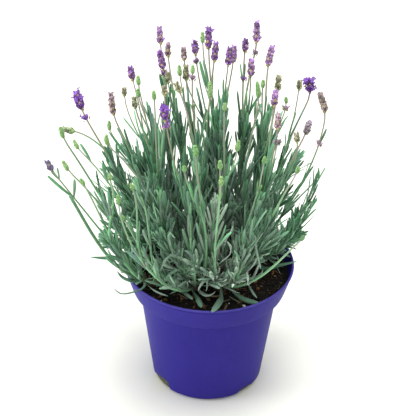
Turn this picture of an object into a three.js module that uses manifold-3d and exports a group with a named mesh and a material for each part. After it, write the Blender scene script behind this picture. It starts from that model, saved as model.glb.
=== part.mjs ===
// Lavender growing in a round plastic nursery pot: pot, potting soil, woody
// plant base, flowering branches and leafy shoots.
// Millimetres, +Z up. The origin is on the pot's axis, in the plane it stands on.
import * as THREE from "three";
import { mergeVertices, mergeGeometries } from "three/addons/utils/BufferGeometryUtils.js";
import Module from "manifold-3d";

const wasm = await Module();
wasm.setup();

// ---- driving dimensions ----
const POT_HEIGHT = 134.6;
const RIM_RADIUS = 85; // outside, at the lip
const BAND_HEIGHT = 26.4; // flared rim band
const BAND_FOOT_RADIUS = 77.1; // band, at its lower edge
const BODY_TOP_RADIUS = 70.1; // body, just under the band
const BODY_FOOT_RADIUS = 55.7; // body wall, carried down to the floor
const FOOT_FILLET = 5.8;
const WALL = 1.7;
const FLOOR_THICKNESS = 2.4;
const POT_SIDES = 36;
const SOIL_TOP = 124;
const SOIL_GAP = 0.35;
const DRAIN_HOLES = 6;
const DRAIN_HOLE_RADIUS = 4;
const DRAIN_HOLE_CIRCLE = 33;
// drainage slots in the bottom edge: azimuth from the front (towards -Y) in degrees, width in degrees, height
const FOOT_SLOTS = [
  [-61, 36, 5.4],
  [46.5, 17, 5.4],
  [119, 36, 5.4],
  [-133.5, 17, 5.4],
];
const NUB_RADIUS = 5.5; // knobs on the woody base that the branches grow from
const NUB_HEIGHT = 130;
const LIMB_RADIUS = 2.9;
const ROOT_RADIUS = 7;
const ROOT_DEPTH = 34;
const STEM_SIDE = 1.9; // flower stalks are square in section
const STEM_STEPS = 6;
const LEAF_THICKNESS = 1.1;
const LEAF_GAP = 0.3;

// knobs of the woody base, [x, y]; the first carries the root collar
const NUBS = [
  [-10, -6],
  [-59.8, -33.6],
  [13, -39.2],
  [-14, 38],
  [40, 10],
  [-44, 20],
  [24, 44],
  [-13.5, -38.5],
];

// Branches: name, then one entry per stem: four Bezier points (x, y, z), the
// kind of flower head at its end and the head's length. The first stem grows
// from the woody base, the others fork from it. Kinds: V open, P purple bud,
// L lilac, F faded, O olive, G green bud, W single whorl, "" a leafy tip.
const BRANCHES = [
  ["flower_branch_01", [-64.1, -30.8, 133.0, -102.0, -5.6, 160.1, -125.3, -22.1, 211.5, -155.3, -19.9, 258.8, "L", 11.4]],
  ["flower_branch_02", [-48.5, 17.3, 132.8, -94.3, -10.7, 162.2, -112.0, -4.2, 228.7, -144.2, 1.9, 284.6, "G", 12.7]],
  ["flower_branch_03", [-48.5, 23.8, 131.1, -85.1, 55.1, 139.9, -101.9, 71.9, 191.7, -140.9, 84.0, 223.7, "G", 11.6]],
  ["flower_branch_04", [-62.5, -33.4, 135.3, -87.1, -31.3, 183.2, -100.7, -42.4, 231.1, -137.8, -43.9, 274.5, "G", 12.5]],
  ["flower_branch_05", [-46.0, 18.5, 135.4, -69.5, 1.1, 199.5, -101.0, -9.3, 255.2, -126.9, -3.8, 324.9, "V", 19.1]],
  ["flower_branch_06", [-62.6, -36.9, 134.1, -86.7, -65.5, 168.8, -97.5, -61.1, 220.6, -119.7, -66.9, 269.5, "G", 8.7], [-91.9, -60.5, 196.5, -102.2, -64.3, 224.8, -76.3, -88.0, 259.2, -91.0, -94.2, 292.1, "G", 9.1]],
  ["flower_branch_07", [-45.6, 24.7, 133.3, -60.4, 68.7, 165.0, -85.4, 82.5, 217.0, -102.4, 92.0, 273.2, "F", 23.2], [-73.2, 71.3, 194.1, -79.9, 78.0, 209.8, -100.8, 91.6, 218.9, -105.0, 96.0, 240.0, "G", 11]],
  ["flower_branch_08", [-17.2, -37.9, 134.7, -58.6, -31.0, 187.1, -47.1, -59.5, 262.0, -94.9, -64.1, 314.6, "G", 12.6]],
  ["flower_branch_09", [-19.5, 39.7, 131.7, -78.5, 57.6, 149.7, -59.1, 87.3, 237.1, -83.4, 98.0, 299.8, "P", 14.2]],
  ["flower_branch_10", [-16.0, -43.6, 131.9, -41.3, -94.6, 151.0, -84.1, -96.5, 219.2, -82.0, -112.0, 280.9, "G", 12], [-59.3, -91.1, 190.4, -73.3, -100.2, 218.4, -59.2, -107.1, 259.2, -70.6, -116.0, 295.5, "G", 8.9]],
  ["flower_branch_11", [-18.4, -40.7, 132.5, -57.8, -58.5, 152.4, -60.8, -81.1, 201.8, -81.1, -92.0, 246.6, "G", 8.5]],
  ["flower_branch_12", [-44.4, 21.9, 135.6, -47.5, 39.3, 186.7, -61.3, 56.1, 231.6, -77.4, 60.0, 286.4, "F", 12.1], [-56.0, 46.0, 209.6, -62.1, 53.1, 234.8, -91.0, 79.5, 252.2, -88.2, 84.0, 284.0, "O", 8.8]],
  ["flower_branch_13", [-13.7, -4.6, 134.5, -59.9, 12.3, 190.1, -52.6, -13.0, 269.0, -69.4, -8.0, 345.6, "G", 10.3], [-52.6, -1.8, 232.2, -57.8, -4.9, 263.1, -55.8, -15.8, 300.0, -69.2, -14.0, 335.4, "G", 9.7]],
  ["flower_branch_14", [-17.0, 40.8, 134.3, -54.5, 76.3, 187.9, -38.8, 101.5, 260.5, -54.7, 116.0, 336.3, "L", 17.9], [-44.0, 86.3, 227.0, -46.4, 97.6, 257.9, -41.5, 61.4, 296.5, -52.6, 64.0, 334.4, "P", 20.2]],
  ["flower_branch_15", [-13.5, -8.4, 134.1, -56.6, -37.6, 184.5, -49.0, -30.7, 265.6, -54.1, -30.0, 342.1, "G", 10.1], [-48.1, -30.4, 228.3, -51.9, -32.1, 261.6, -40.1, -17.8, 299.2, -45.5, -16.0, 339.1, "O", 10.1]],
  ["flower_branch_16", [-14.9, 38.2, 135.9, -24.9, 40.2, 204.7, -36.3, 78.5, 259.5, -45.5, 88.0, 332.0, "F", 14.2], [-30.5, 60.3, 232.6, -34.5, 68.7, 256.6, -40.9, 53.5, 286.4, -44.0, 55.0, 317.1, "O", 12]],
  ["flower_branch_17", [-13.6, -38.2, 135.9, -15.3, -34.5, 211.0, -36.0, -65.5, 273.4, -44.0, -73.1, 352.2, "V", 18.3]],
  ["flower_branch_18", [-10.8, -6.5, 135.9, -19.8, -12.9, 205.8, -4.8, -18.3, 273.9, -34.8, -14.0, 342.4, "O", 11.7]],
  ["flower_branch_19", [-13.3, 41.5, 134.8, -6.0, 80.2, 188.7, -26.3, 91.5, 250.7, -30.4, 104.0, 320.2, "F", 13.5], [-17.6, 82.6, 221.7, -22.6, 92.5, 255.0, -30.2, 43.3, 289.0, -33.2, 44.0, 331.0, "G", 13]],
  ["flower_branch_20", [-10.4, 42.1, 132.5, 30.7, 89.4, 161.1, -15.8, 102.8, 249.0, -19.6, 118.0, 320.3, "P", 14.5], [1.9, 92.1, 210.3, -4.7, 102.6, 242.8, -24.4, 62.7, 278.0, -26.9, 66.0, 319.6, "O", 16.9]],
  ["flower_branch_21", [-9.1, -3.2, 135.2, 2.1, 31.3, 199.7, -23.0, -5.7, 274.7, -19.3, 2.0, 352.6, "G", 9.4], [-11.4, 9.4, 238.9, -15.3, 5.8, 271.8, -3.6, -20.1, 306.3, -3.6, -18.0, 346.3, "G", 18]],
  ["flower_branch_22", [-11.8, -41.3, 134.9, 8.5, -74.2, 192.4, -13.0, -92.0, 256.3, -14.7, -104.3, 328.5, "G", 13.7], [-5.0, -80.5, 226.2, -7.5, -88.6, 251.9, -22.9, -101.7, 278.2, -24.3, -107.8, 310.1, "G", 8.4]],
  ["flower_branch_23", [-11.2, 38.4, 135.2, 24.3, 43.4, 200.1, -7.2, 84.9, 267.7, -5.6, 96.0, 345.3, "P", 20.8], [4.3, 64.9, 235.5, 1.3, 76.4, 267.7, -11.4, 81.1, 305.8, -11.7, 86.0, 346.7, "G", 12.3]],
  ["flower_branch_24", [20.8, 45.2, 134.8, -17.5, 60.2, 192.4, -3.6, 67.1, 265.6, 1.7, 74.0, 340.0, "P", 19.1]],
  ["flower_branch_25", [11.7, -43.1, 134.3, -2.3, -86.0, 180.5, 10.4, -92.0, 246.8, 7.0, -104.2, 313.9, "G", 11.5], [5.4, -85.1, 216.2, 6.2, -92.1, 241.8, 8.1, -103.3, 269.9, 8.7, -109.9, 301.0, "G", 12.3]],
  ["flower_branch_26", [-7.2, -7.6, 135.0, 25.3, -26.3, 194.4, 8.0, -41.5, 263.6, 10.7, -42.0, 337.9, "G", 9.2], [12.9, -31.6, 230.8, 13.0, -37.7, 264.5, 20.9, -85.9, 286.6, 22.9, -91.6, 327.2, "G", 13.7]],
  ["flower_branch_27", [21.5, 48.5, 133.0, -7.0, 98.8, 166.7, 13.7, 98.3, 249.9, 20.1, 112.0, 319.1, "L", 17.2], [7.7, 94.0, 212.7, 10.5, 103.1, 251.7, 11.3, 57.3, 293.9, 15.2, 60.0, 341.8, "P", 18.9]],
  ["flower_branch_28", [25.2, 48.6, 133.5, 38.9, 102.3, 174.4, 26.0, 105.0, 251.7, 31.8, 120.0, 322.8, "P", 13.4], [31.8, 93.3, 199.2, 35.7, 108.5, 241.7, 36.2, 46.1, 283.1, 35.8, 48.0, 336.6, "L", 19.3]],
  ["flower_branch_29", [38.7, 9.2, 135.8, 23.6, 0.7, 201.6, 36.3, -4.0, 264.4, 40.3, 4.0, 336.0, "G", 17.2]],
  ["flower_branch_30", [24.4, 45.6, 135.7, 29.9, 66.6, 208.5, 28.2, 82.1, 274.9, 41.2, 92.0, 353.7, "L", 20.3]],
  ["flower_branch_31", [14.2, -40.6, 135.7, 26.6, -56.0, 195.3, 42.0, -80.5, 245.0, 46.8, -90.1, 310.7, "G", 9.2]],
  ["flower_branch_32", [26.6, 42.6, 135.2, 57.0, 26.3, 195.6, 48.0, 75.7, 260.6, 56.9, 84.0, 333.2, "L", 20.7], [49.8, 54.1, 229.6, 51.8, 62.5, 254.0, 45.8, 47.1, 284.6, 48.1, 48.0, 315.5, "G", 9.9]],
  ["flower_branch_33", [39.9, 6.0, 134.4, 38.2, -38.0, 181.8, 55.5, -31.8, 251.9, 59.5, -30.0, 320.2, "F", 15.5], [47.6, -29.2, 219.4, 52.4, -33.1, 252.9, 54.3, -2.4, 287.6, 58.3, 2.0, 328.1, "L", 16.6], [47.6, -29.2, 219.4, 50.9, -31.8, 242.1, 56.3, -34.5, 267.7, 59.6, -34.0, 295.2, "W", 6.4]],
  ["flower_branch_34", [39.8, 12.8, 135.2, 37.9, 43.8, 192.9, 60.7, 36.4, 255.9, 62.2, 36.0, 325.3, "F", 16.3], [49.7, 36.2, 225.9, 53.6, 37.5, 247.4, 72.7, 74.8, 255.5, 71.9, 78.0, 281.7, "G", 7.7]],
  ["flower_branch_35", [17.1, -38.6, 134.3, 55.9, -33.0, 175.8, 52.9, -62.8, 233.5, 78.9, -67.7, 287.9, "G", 8.8]],
  ["flower_branch_36", [18.2, -41.4, 132.0, 51.4, -55.2, 144.8, 63.9, -65.5, 183.0, 88.2, -70.1, 214.8, "G", 8]],
  ["flower_branch_37", [42.4, 8.6, 135.3, 65.0, -4.7, 185.7, 64.9, -2.8, 241.5, 91.9, 4.0, 294.9, "L", 13.6], [65.5, -1.2, 214.0, 71.2, -1.5, 239.0, 85.0, -23.6, 266.3, 77.6, -22.0, 296.2, "O", 9.9]],
  ["flower_branch_38", [41.6, 15.0, 132.8, 59.4, 69.6, 162.9, 78.0, 67.7, 239.9, 93.6, 74.0, 306.5, "V", 18.5], [68.4, 62.6, 206.0, 76.7, 69.3, 235.4, 82.3, 57.8, 271.6, 84.0, 60.0, 309.1, "O", 10.8]],
  ["flower_branch_39", [43.4, 12.1, 134.4, 80.0, 34.8, 181.2, 96.4, 18.2, 245.1, 101.7, 30.0, 311.2, "O", 20.6]],
  ["leafy_shoot_left_low", [-65.0, -34.4, 132.7, -99.4, -39.6, 150.3, -115.7, -27.1, 186.8, -134.3, -25.0, 223.6, "", 0]],
  ["leafy_shoot_left_back", [-49.9, 20.3, 131.1, -71.6, 13.4, 145.5, -91.1, 7.7, 137.1, -113.2, 25.0, 145.1, "", 0]],
  ["leafy_shoot_left_mid", [-47.8, 21.8, 134.2, -72.6, 33.1, 161.2, -94.1, 35.8, 191.8, -103.7, 55.0, 226.3, "", 0]],
  ["leafy_shoot_right_high", [45.2, 9.2, 132.8, 81.6, 3.3, 152.6, 89.7, 3.5, 199.6, 110.3, 15.0, 237.1, "", 0]],
  ["leafy_shoot_right_mid", [43.3, 5.9, 132.8, 64.6, -20.6, 150.9, 80.9, -28.3, 190.0, 101.1, -25.0, 225.3, "", 0]],
  ["leafy_shoot_right_low", [45.3, 12.5, 131.1, 61.7, 20.3, 134.4, 79.0, 10.6, 146.9, 91.4, 20.0, 158.8, "", 0]],
  ["leafy_shoot_top_left", [-18.1, 37.2, 134.2, -49.9, 31.2, 166.9, -50.5, 62.2, 211.2, -62.3, 70.0, 257.8, "", 0]],
  ["leafy_shoot_top_mid", [22.9, 42.2, 135.6, 13.6, 27.6, 180.8, 3.6, 54.8, 225.6, 9.1, 60.0, 276.3, "", 0]],
  ["leafy_shoot_top_right", [27.8, 46.0, 134.1, 56.3, 60.8, 164.6, 40.0, 66.8, 214.5, 55.4, 75.0, 258.0, "", 0]],
  ["leafy_shoot_silver_front", [10.5, -39.7, 135.4, -5.1, -43.1, 169.2, 5.3, -56.6, 203.6, 2.9, -62.0, 242.7, "", 0]],
  ["leafy_shoot_front_left", [-15.5, -41.3, 134.8, -31.2, -62.7, 172.2, -49.6, -68.7, 213.2, -46.3, -80.0, 260.3, "", 0]],
  ["leafy_shoot_front_right", [15.4, -43.5, 133.4, 33.3, -75.6, 159.4, 35.5, -73.8, 210.4, 42.7, -85.0, 256.1, "", 0]],
  ["leafy_shoot_back_left", [-17.4, 42.8, 131.1, -40.1, 74.6, 138.2, -68.0, 96.4, 156.0, -88.0, 118.0, 186.0, "", 0]],
  ["leafy_shoot_back_mid", [-13.8, 43.7, 131.8, -12.7, 76.9, 142.2, -6.6, 103.1, 163.2, -4.0, 126.0, 192.0, "", 0]],
  ["leafy_shoot_back_right", [28.0, 48.2, 131.1, 51.5, 73.1, 137.3, 64.5, 96.1, 160.8, 86.0, 112.0, 186.0, "", 0]],
  ["leafy_shoot_centre", [-10.1, -10.0, 134.4, -11.1, -43.5, 172.0, -7.8, -43.6, 225.5, -14.5, -45.0, 278.4, "", 0]],
];

// long leaves at the foot of the plant: branch, points (x, y, z), half-width
const FOOT_LEAVES = [
  ["leafy_shoot_left_low", [[-76, -33, 139], [-90.8, -21.4, 150], [-103.6, -21, 150], [-117.2, -22.7, 152]], 1.5],
  ["leafy_shoot_left_low", [[-69.5, -38, 135.4], [-76, -42, 138.2], [-84.5, -37.5, 139.2], [-90.2, -31.8, 142]], 1.4],
  ["flower_branch_06", [[-62.5, -46, 135.8], [-68, -58, 138.6], [-83.2, -64.2, 138.4], [-91.4, -59.3, 141]], 1.4],
  ["flower_branch_10", [[-14, -50, 130.5], [-10.2, -62.4, 132.5], [-6.4, -81, 136.8]], 2.2],
  ["flower_branch_25", [[12.5, -52, 130.5], [10.1, -69, 134.5], [3.5, -90, 138.2]], 2.9],
  ["flower_branch_36", [[26, -47, 129], [37, -58, 129.5], [49.8, -62, 129]], 2.2],
  ["leafy_shoot_right_mid", [[55.1, -10, 134], [70, -9, 138], [86.8, -7.8, 142]], 1.7],
];

const COLOURS = {
  pot: 0x443a9c,
  soil: 0x2b1e15,
  wood: 0x6b5a44,
  leaf: 0x4b7d5a,
  V: 0x6a35b8,
  P: 0x5b3a94,
  L: 0x8f74b8,
  F: 0x8d7f86,
  O: 0x7d8a5e,
  G: 0x8fbf6a,
  W: 0x6a4a94,
};

// ---- solids ----
const closed = (g) => {
  const bare = g.index ? g.toNonIndexed() : g.clone();
  bare.deleteAttribute("normal");
  bare.deleteAttribute("uv");
  return mergeVertices(bare, 1e-4);
};
const solidOf = (g) => {
  const m = closed(g);
  return new wasm.Manifold(
    new wasm.Mesh({
      numProp: 3,
      vertProperties: new Float32Array(m.attributes.position.array),
      triVerts: new Uint32Array(m.index.array),
    }),
  );
};
const geometryOf = (s) => {
  const m = s.getMesh();
  const v = new Float32Array(m.numVert * 3);
  for (let i = 0; i < m.numVert; i++)
    v.set(m.vertProperties.subarray(i * m.numProp, i * m.numProp + 3), i * 3);
  const g = new THREE.BufferGeometry();
  g.setAttribute("position", new THREE.BufferAttribute(v, 3));
  g.setIndex(new THREE.BufferAttribute(new Uint32Array(m.triVerts), 1));
  g.computeVertexNormals();
  return g;
};
const lathe = (points, sides) =>
  new THREE.LatheGeometry(
    points.map(([r, z]) => new THREE.Vector2(r, z)),
    sides,
  ).rotateX(Math.PI / 2); // the profile's height becomes +Z
const rad = THREE.MathUtils.degToRad;

// a prism along a curve: square for stalks, rounder for wood
const prism = (curve, steps, halfWidth, sides) => {
  const s = new THREE.Shape();
  for (let i = 0; i < sides; i++) {
    const a = (2 * Math.PI * (i + 0.5)) / sides;
    const x = halfWidth * Math.cos(a),
      y = halfWidth * Math.sin(a);
    i ? s.lineTo(x, y) : s.moveTo(x, y);
  }
  s.closePath();
  return new THREE.ExtrudeGeometry(s, {
    steps,
    bevelEnabled: false,
    extrudePath: curve,
  });
};
const place = (g, from, direction, roll = 0) => {
  const z = direction.clone().normalize();
  const q = new THREE.Quaternion().setFromUnitVectors(
    new THREE.Vector3(0, 0, 1),
    z,
  );
  return g.rotateZ(roll).applyQuaternion(q).translate(from.x, from.y, from.z);
};

// ---- pot ----
function pot() {
  const zb = POT_HEIGHT - BAND_HEIGHT;
  const wall = (z) =>
    BODY_FOOT_RADIUS + ((BODY_TOP_RADIUS - BODY_FOOT_RADIUS) * z) / zb;
  const f = FOOT_FILLET;
  const profile = [
    [0, 0],
    [wall(f) - f, 0],
    [wall(f) - f + f * Math.sin(rad(30)), f * (1 - Math.cos(rad(30)))],
    [wall(f) - f + f * Math.sin(rad(60)), f * (1 - Math.cos(rad(60)))],
    [wall(f), f],
    [BODY_TOP_RADIUS, zb],
    [BAND_FOOT_RADIUS - 0.9, zb],
    [BAND_FOOT_RADIUS, zb + 0.9],
    [RIM_RADIUS - 0.6, POT_HEIGHT - 2.1],
    [RIM_RADIUS, POT_HEIGHT - 1.2],
    [RIM_RADIUS - 0.3, POT_HEIGHT],
    [RIM_RADIUS - 1.7, POT_HEIGHT],
    [RIM_RADIUS - 0.7 - WALL, POT_HEIGHT - 2.1],
    [BAND_FOOT_RADIUS - WALL, zb + WALL + 0.5],
    [BAND_FOOT_RADIUS - WALL - 0.7, zb + WALL],
    [BODY_TOP_RADIUS - WALL, zb + WALL],
    [wall(f) - WALL, f + 1],
    [wall(f) - WALL - 3.2, FLOOR_THICKNESS],
    [0, FLOOR_THICKNESS],
  ];
  let s = solidOf(lathe(profile, POT_SIDES));
  for (const [azimuth, width, height] of FOOT_SLOTS) {
    const r0 = 49.2,
      r1 = 62;
    const half = (w) => r1 * Math.tan(rad(w / 2)) * 0.94;
    const outline = new THREE.Shape();
    const w = half(width);
    outline.moveTo(-w - 0.4, -1);
    outline.lineTo(w + 0.4, -1);
    outline.lineTo(w, height - 1.6);
    outline.lineTo(w - 1.8, height);
    outline.lineTo(-w + 1.8, height);
    outline.lineTo(-w, height - 1.6);
    outline.closePath();
    const g = new THREE.ExtrudeGeometry(outline, {
      depth: r1 - r0,
      bevelEnabled: false,
    })
      .rotateX(Math.PI / 2) // the outline's height becomes +Z, its depth -Y
      .translate(0, -r0, 0)
      .rotateZ(rad(azimuth));
    s = s.subtract(solidOf(g));
  }
  for (let i = 0; i < DRAIN_HOLES; i++) {
    const a = (2 * Math.PI * (i + 0.5)) / DRAIN_HOLES;
    const g = new THREE.CylinderGeometry(
      DRAIN_HOLE_RADIUS,
      DRAIN_HOLE_RADIUS,
      8,
      8,
    )
      .rotateX(Math.PI / 2)
      .translate(
        DRAIN_HOLE_CIRCLE * Math.cos(a),
        DRAIN_HOLE_CIRCLE * Math.sin(a),
        1,
      );
    s = s.subtract(solidOf(g));
  }
  return s;
}

// ---- woody base: a root collar, knobs and the low limbs that join them ----
const nub = (i) => new THREE.Vector3(NUBS[i][0], NUBS[i][1], NUB_HEIGHT);
function rootCollar(grow) {
  const r = ROOT_RADIUS + grow;
  const top = NUB_HEIGHT - 1;
  const g = lathe(
    [
      [0, top - ROOT_DEPTH - grow],
      [r * 0.45, top - ROOT_DEPTH - grow],
      [r, top - 12],
      [r, top],
      [0, top],
    ],
    9,
  );
  return g.translate(NUBS[0][0], NUBS[0][1], 0);
}
function woodyBase() {
  let s = solidOf(rootCollar(0));
  NUBS.forEach((_, i) => {
    const c = nub(i);
    const knob = new THREE.SphereGeometry(NUB_RADIUS, 7, 5)
      .rotateX(Math.PI / 2)
      .rotateZ(i)
      .translate(c.x, c.y, c.z);
    s = s.add(solidOf(knob));
    if (i) {
      const a = nub(0),
        b = nub(i);
      a.z = b.z = SOIL_TOP + LIMB_RADIUS + 0.7;
      const side = new THREE.Vector3(-(b.y - a.y), b.x - a.x, 0)
        .normalize()
        .multiplyScalar(i % 2 ? 3 : -3);
      const middle = a.clone().lerp(b, 0.5).add(side);
      const limb = prism(
        new THREE.QuadraticBezierCurve3(a, middle, b),
        2,
        LIMB_RADIUS,
        5,
      );
      s = s.add(solidOf(limb));
    }
  });
  return s;
}

// ---- potting soil: fills the pot to just under the rim band's top ----
function soil() {
  const zb = POT_HEIGHT - BAND_HEIGHT;
  const wall = (z) =>
    BODY_FOOT_RADIUS + ((BODY_TOP_RADIUS - BODY_FOOT_RADIUS) * z) / zb - WALL;
  const band = (z) =>
    BAND_FOOT_RADIUS -
    WALL +
    ((RIM_RADIUS - 0.7 - BAND_FOOT_RADIUS) * (z - zb - 2.2)) /
      (BAND_HEIGHT - 4.3);
  const g = SOIL_GAP + 0.15;
  const z0 = FOOT_FILLET + 2.6;
  const s = solidOf(
    lathe(
      [
        [0, FLOOR_THICKNESS + SOIL_GAP],
        [46.5, FLOOR_THICKNESS + SOIL_GAP],
        [wall(z0) - 1.2, z0],
        [wall(zb - 1) - g, zb - 1],
        [wall(zb - 1) - g, zb + WALL + 1.0],
        [band(zb + 3.4) - g - 0.4, zb + WALL + 1.7],
        [band(SOIL_TOP - 1) - g, SOIL_TOP - 1],
        [band(SOIL_TOP - 1) - g - 2.2, SOIL_TOP],
        [0, SOIL_TOP],
      ],
      POT_SIDES,
    ),
  );
  return s.subtract(solidOf(rootCollar(SOIL_GAP)));
}

// ---- stems, leaves and flower heads ----
const curveOf = (p) =>
  new THREE.CubicBezierCurve3(
    new THREE.Vector3(p[0], p[1], p[2]),
    new THREE.Vector3(p[3], p[4], p[5]),
    new THREE.Vector3(p[6], p[7], p[8]),
    new THREE.Vector3(p[9], p[10], p[11]),
  );
const HEAD_RADIUS = { V: 4.6, P: 3.9, L: 3.7, F: 3.4, O: 3.0, G: 3.2, W: 2.8 };

// a flower head: a short spindle of stacked whorls
function head(kind, length, curve) {
  const r = HEAD_RADIUS[kind];
  const l = length;
  const end = curve.getPointAt(1);
  const t = 1 - length / curve.getLength();
  const from = curve.getPointAt(t);
  const rings =
    l > 13
      ? [
          [0, 0],
          [r * 0.9, l * 0.14],
          [r, l * 0.6],
          [r * 0.5, l * 0.93],
          [0, l],
        ]
      : [
          [0, 0],
          [r, l * 0.3],
          [r * 0.7, l * 0.85],
          [0, l],
        ];
  const g = lathe(rings, 5);
  return place(g, from, end.clone().sub(from));
}

// distance between two segments, sampled finely enough for these short ones
const P = new THREE.Vector3();
const line = new THREE.Line3();
function near(a, b) {
  let d = Infinity;
  for (let k = 0; k <= 4; k++) {
    P.lerpVectors(a.p, a.q, k / 4);
    const c = line.set(b.p, b.q).closestPointToPoint(P, true, new THREE.Vector3());
    d = Math.min(d, c.distanceTo(P));
  }
  return d - a.r - b.r;
}
const taken = []; // capsules of everything placed so far, with the branch they belong to
const chain = (points, r, owner) =>
  points.slice(1).map((q, i) => ({ p: points[i], q, r, owner }));
const stemReach = STEM_SIDE * 0.72;

const leafTaper = [0, 0.32, 0.7, 1];
const leafWidth = [0, 1, 0.86, 0];
// a narrow leaf through the given points: keeled section, pointed at both ends
function leaf(points, halfWidth, up) {
  const g = lathe(
    leafTaper.map((t, i) => [leafWidth[i], t]),
    3,
  );
  const pos = g.getAttribute("position");
  const path = new THREE.CatmullRomCurve3(points);
  for (let i = 0; i < pos.count; i++) {
    const t = THREE.MathUtils.clamp(pos.getZ(i), 0, 1);
    const at = path.getPointAt(t);
    const along = path.getTangentAt(t);
    const across = new THREE.Vector3().crossVectors(along, up).normalize();
    const over = new THREE.Vector3().crossVectors(along, across);
    at.addScaledVector(across, pos.getX(i) * halfWidth);
    at.addScaledVector(over, (pos.getY(i) * LEAF_THICKNESS) / 2);
    pos.setXYZ(i, at.x, at.y, at.z);
  }
  return g;
}

// the straight-sided spine that a stalk really follows, and a point along it
const spineOf = (curve) => curve.getSpacedPoints(STEM_STEPS);
const onSpine = (curve, u) => {
  const s = spineOf(curve);
  const k = Math.min(STEM_STEPS - 1, Math.floor(u * STEM_STEPS));
  return s[k].clone().lerp(s[k + 1], u * STEM_STEPS - k);
};
const nearestOnSpine = (curve, point) => {
  let best = null;
  for (let i = 0; i <= 200; i++) {
    const p = onSpine(curve, i / 200);
    if (!best || p.distanceTo(point) < best.distanceTo(point)) best = p;
  }
  return best;
};

// the first part of a curve, up to a share of its length
const upTo = (curve, share) => {
  const t = curve.getUtoTmapping(share, share * curve.getLength());
  const ab = curve.v0.clone().lerp(curve.v1, t),
    bc = curve.v1.clone().lerp(curve.v2, t),
    cd = curve.v2.clone().lerp(curve.v3, t);
  const abc = ab.clone().lerp(bc, t),
    bcd = bc.clone().lerp(cd, t);
  return new THREE.CubicBezierCurve3(
    curve.v0.clone(),
    ab,
    abc,
    abc.clone().lerp(bcd, t),
  );
};

const stems = BRANCHES.map(([name, ...parts]) => {
  const made = [];
  for (const p of parts) {
    const curve = curveOf(p);
    if (made.length) curve.v0.copy(nearestOnSpine(made[0].stalk, curve.v0));
    // a flowering stalk ends inside its head
    const share = p[12] ? 1 - (0.62 * p[13]) / curve.getLength() : 1;
    made.push({ curve, stalk: upTo(curve, share), kind: p[12], length: p[13] });
  }
  for (const { curve, kind, length } of made) {
    const points = curve.getPoints(16);
    taken.push(...chain(points, stemReach, name));
    if (kind) {
      const t = 1 - length / curve.getLength();
      taken.push({
        p: curve.getPointAt(t),
        q: curve.getPointAt(1),
        r: HEAD_RADIUS[kind],
        owner: name,
      });
    }
  }
  return { name, made };
});
const free = (capsules, owner) =>
  capsules.every((c) =>
    taken.every((t) => t.owner === owner || near(c, t) > LEAF_GAP),
  );
const clearOfPot = (points, halfWidth) =>
  points.every((p) => {
    const r = Math.hypot(p.x, p.y);
    return (
      (p.z > POT_HEIGHT + 0.3 + 0.6 || r + halfWidth < 79) &&
      p.z > SOIL_TOP + 1.4 + 0.4 &&
      NUBS.every(
        (n) =>
          Math.hypot(p.x - n[0], p.y - n[1], p.z - NUB_HEIGHT) >
          NUB_RADIUS + halfWidth + 0.4,
      )
    );
  });

// the long leaves at the foot go in first
const leaves = new Map(BRANCHES.map(([name]) => [name, []]));
for (const [name, points, halfWidth] of FOOT_LEAVES) {
  const { made } = stems.find((s) => s.name === name);
  const root = onSpine(made[0].stalk, 0.035);
  const path = [root, ...points.map((p) => new THREE.Vector3(...p))];
  const fine = new THREE.CatmullRomCurve3(path).getPoints(10);
  leaves.get(name).push({ path, halfWidth });
  taken.push(...chain(fine.slice(1), halfWidth + 0.1, name));
}

// then opposite pairs up each stem
const golden = 2.399963;
stems.forEach(({ name, made }, index) => {
  const leafy = made[0].kind === "";
  const { stalk } = made[0];
  const total = stalk.getLength();
  const pairs = leafy ? 3 : made.length > 1 ? 2 : 3;
  for (let k = 0; k < pairs; k++) {
    const t = leafy ? 0.34 + 0.27 * k : 0.22 + 0.19 * k;
    const at = onSpine(stalk, t);
    const along = stalk.getTangentAt(t);
    for (let side = 0; side < 2; side++) {
      for (let turn = 0; turn < 7; turn++) {
        for (const scale of [1, 0.72]) {
          const a =
            index * golden +
            k * 1.45 +
            side * Math.PI +
            [0, 0.5, -0.5, 1.0, -1.0, 1.5, -1.5][turn];
          const n = new THREE.Vector3(Math.cos(a), Math.sin(a), 0);
          n.addScaledVector(along, -n.dot(along)).normalize();
          const l =
            scale * Math.min(leafy ? 38 : 42, 0.3 * total) * (1 - 0.12 * k);
          const halfWidth = 1.9;
          const path = [
            at,
            at
              .clone()
              .addScaledVector(along, l * 0.42)
              .addScaledVector(n, l * 0.26),
            at
              .clone()
              .addScaledVector(along, l * 0.9)
              .addScaledVector(n, l * 0.4),
          ];
          const capsules = chain(
            new THREE.CatmullRomCurve3(path).getPoints(5).slice(1),
            halfWidth + 0.1,
            name,
          );
          if (!free(capsules, name)) continue;
          if (!clearOfPot(capsules.map((c) => c.q), halfWidth)) continue;
          leaves.get(name).push({ path, halfWidth });
          taken.push(...capsules);
          turn = 9;
          break;
        }
      }
    }
  }
  if (leafy) {
    // the growing tip ends in one more leaf
    const at = onSpine(stalk, 0.97);
    const along = stalk.getTangentAt(1);
    const path = [
      at,
      at.clone().addScaledVector(along, 9),
      at.clone().addScaledVector(along, 20),
    ];
    const capsules = chain(path, 2, name);
    if (free(capsules, name)) {
      leaves.get(name).push({ path, halfWidth: 1.8 });
      taken.push(...capsules);
    }
  }
});

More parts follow.
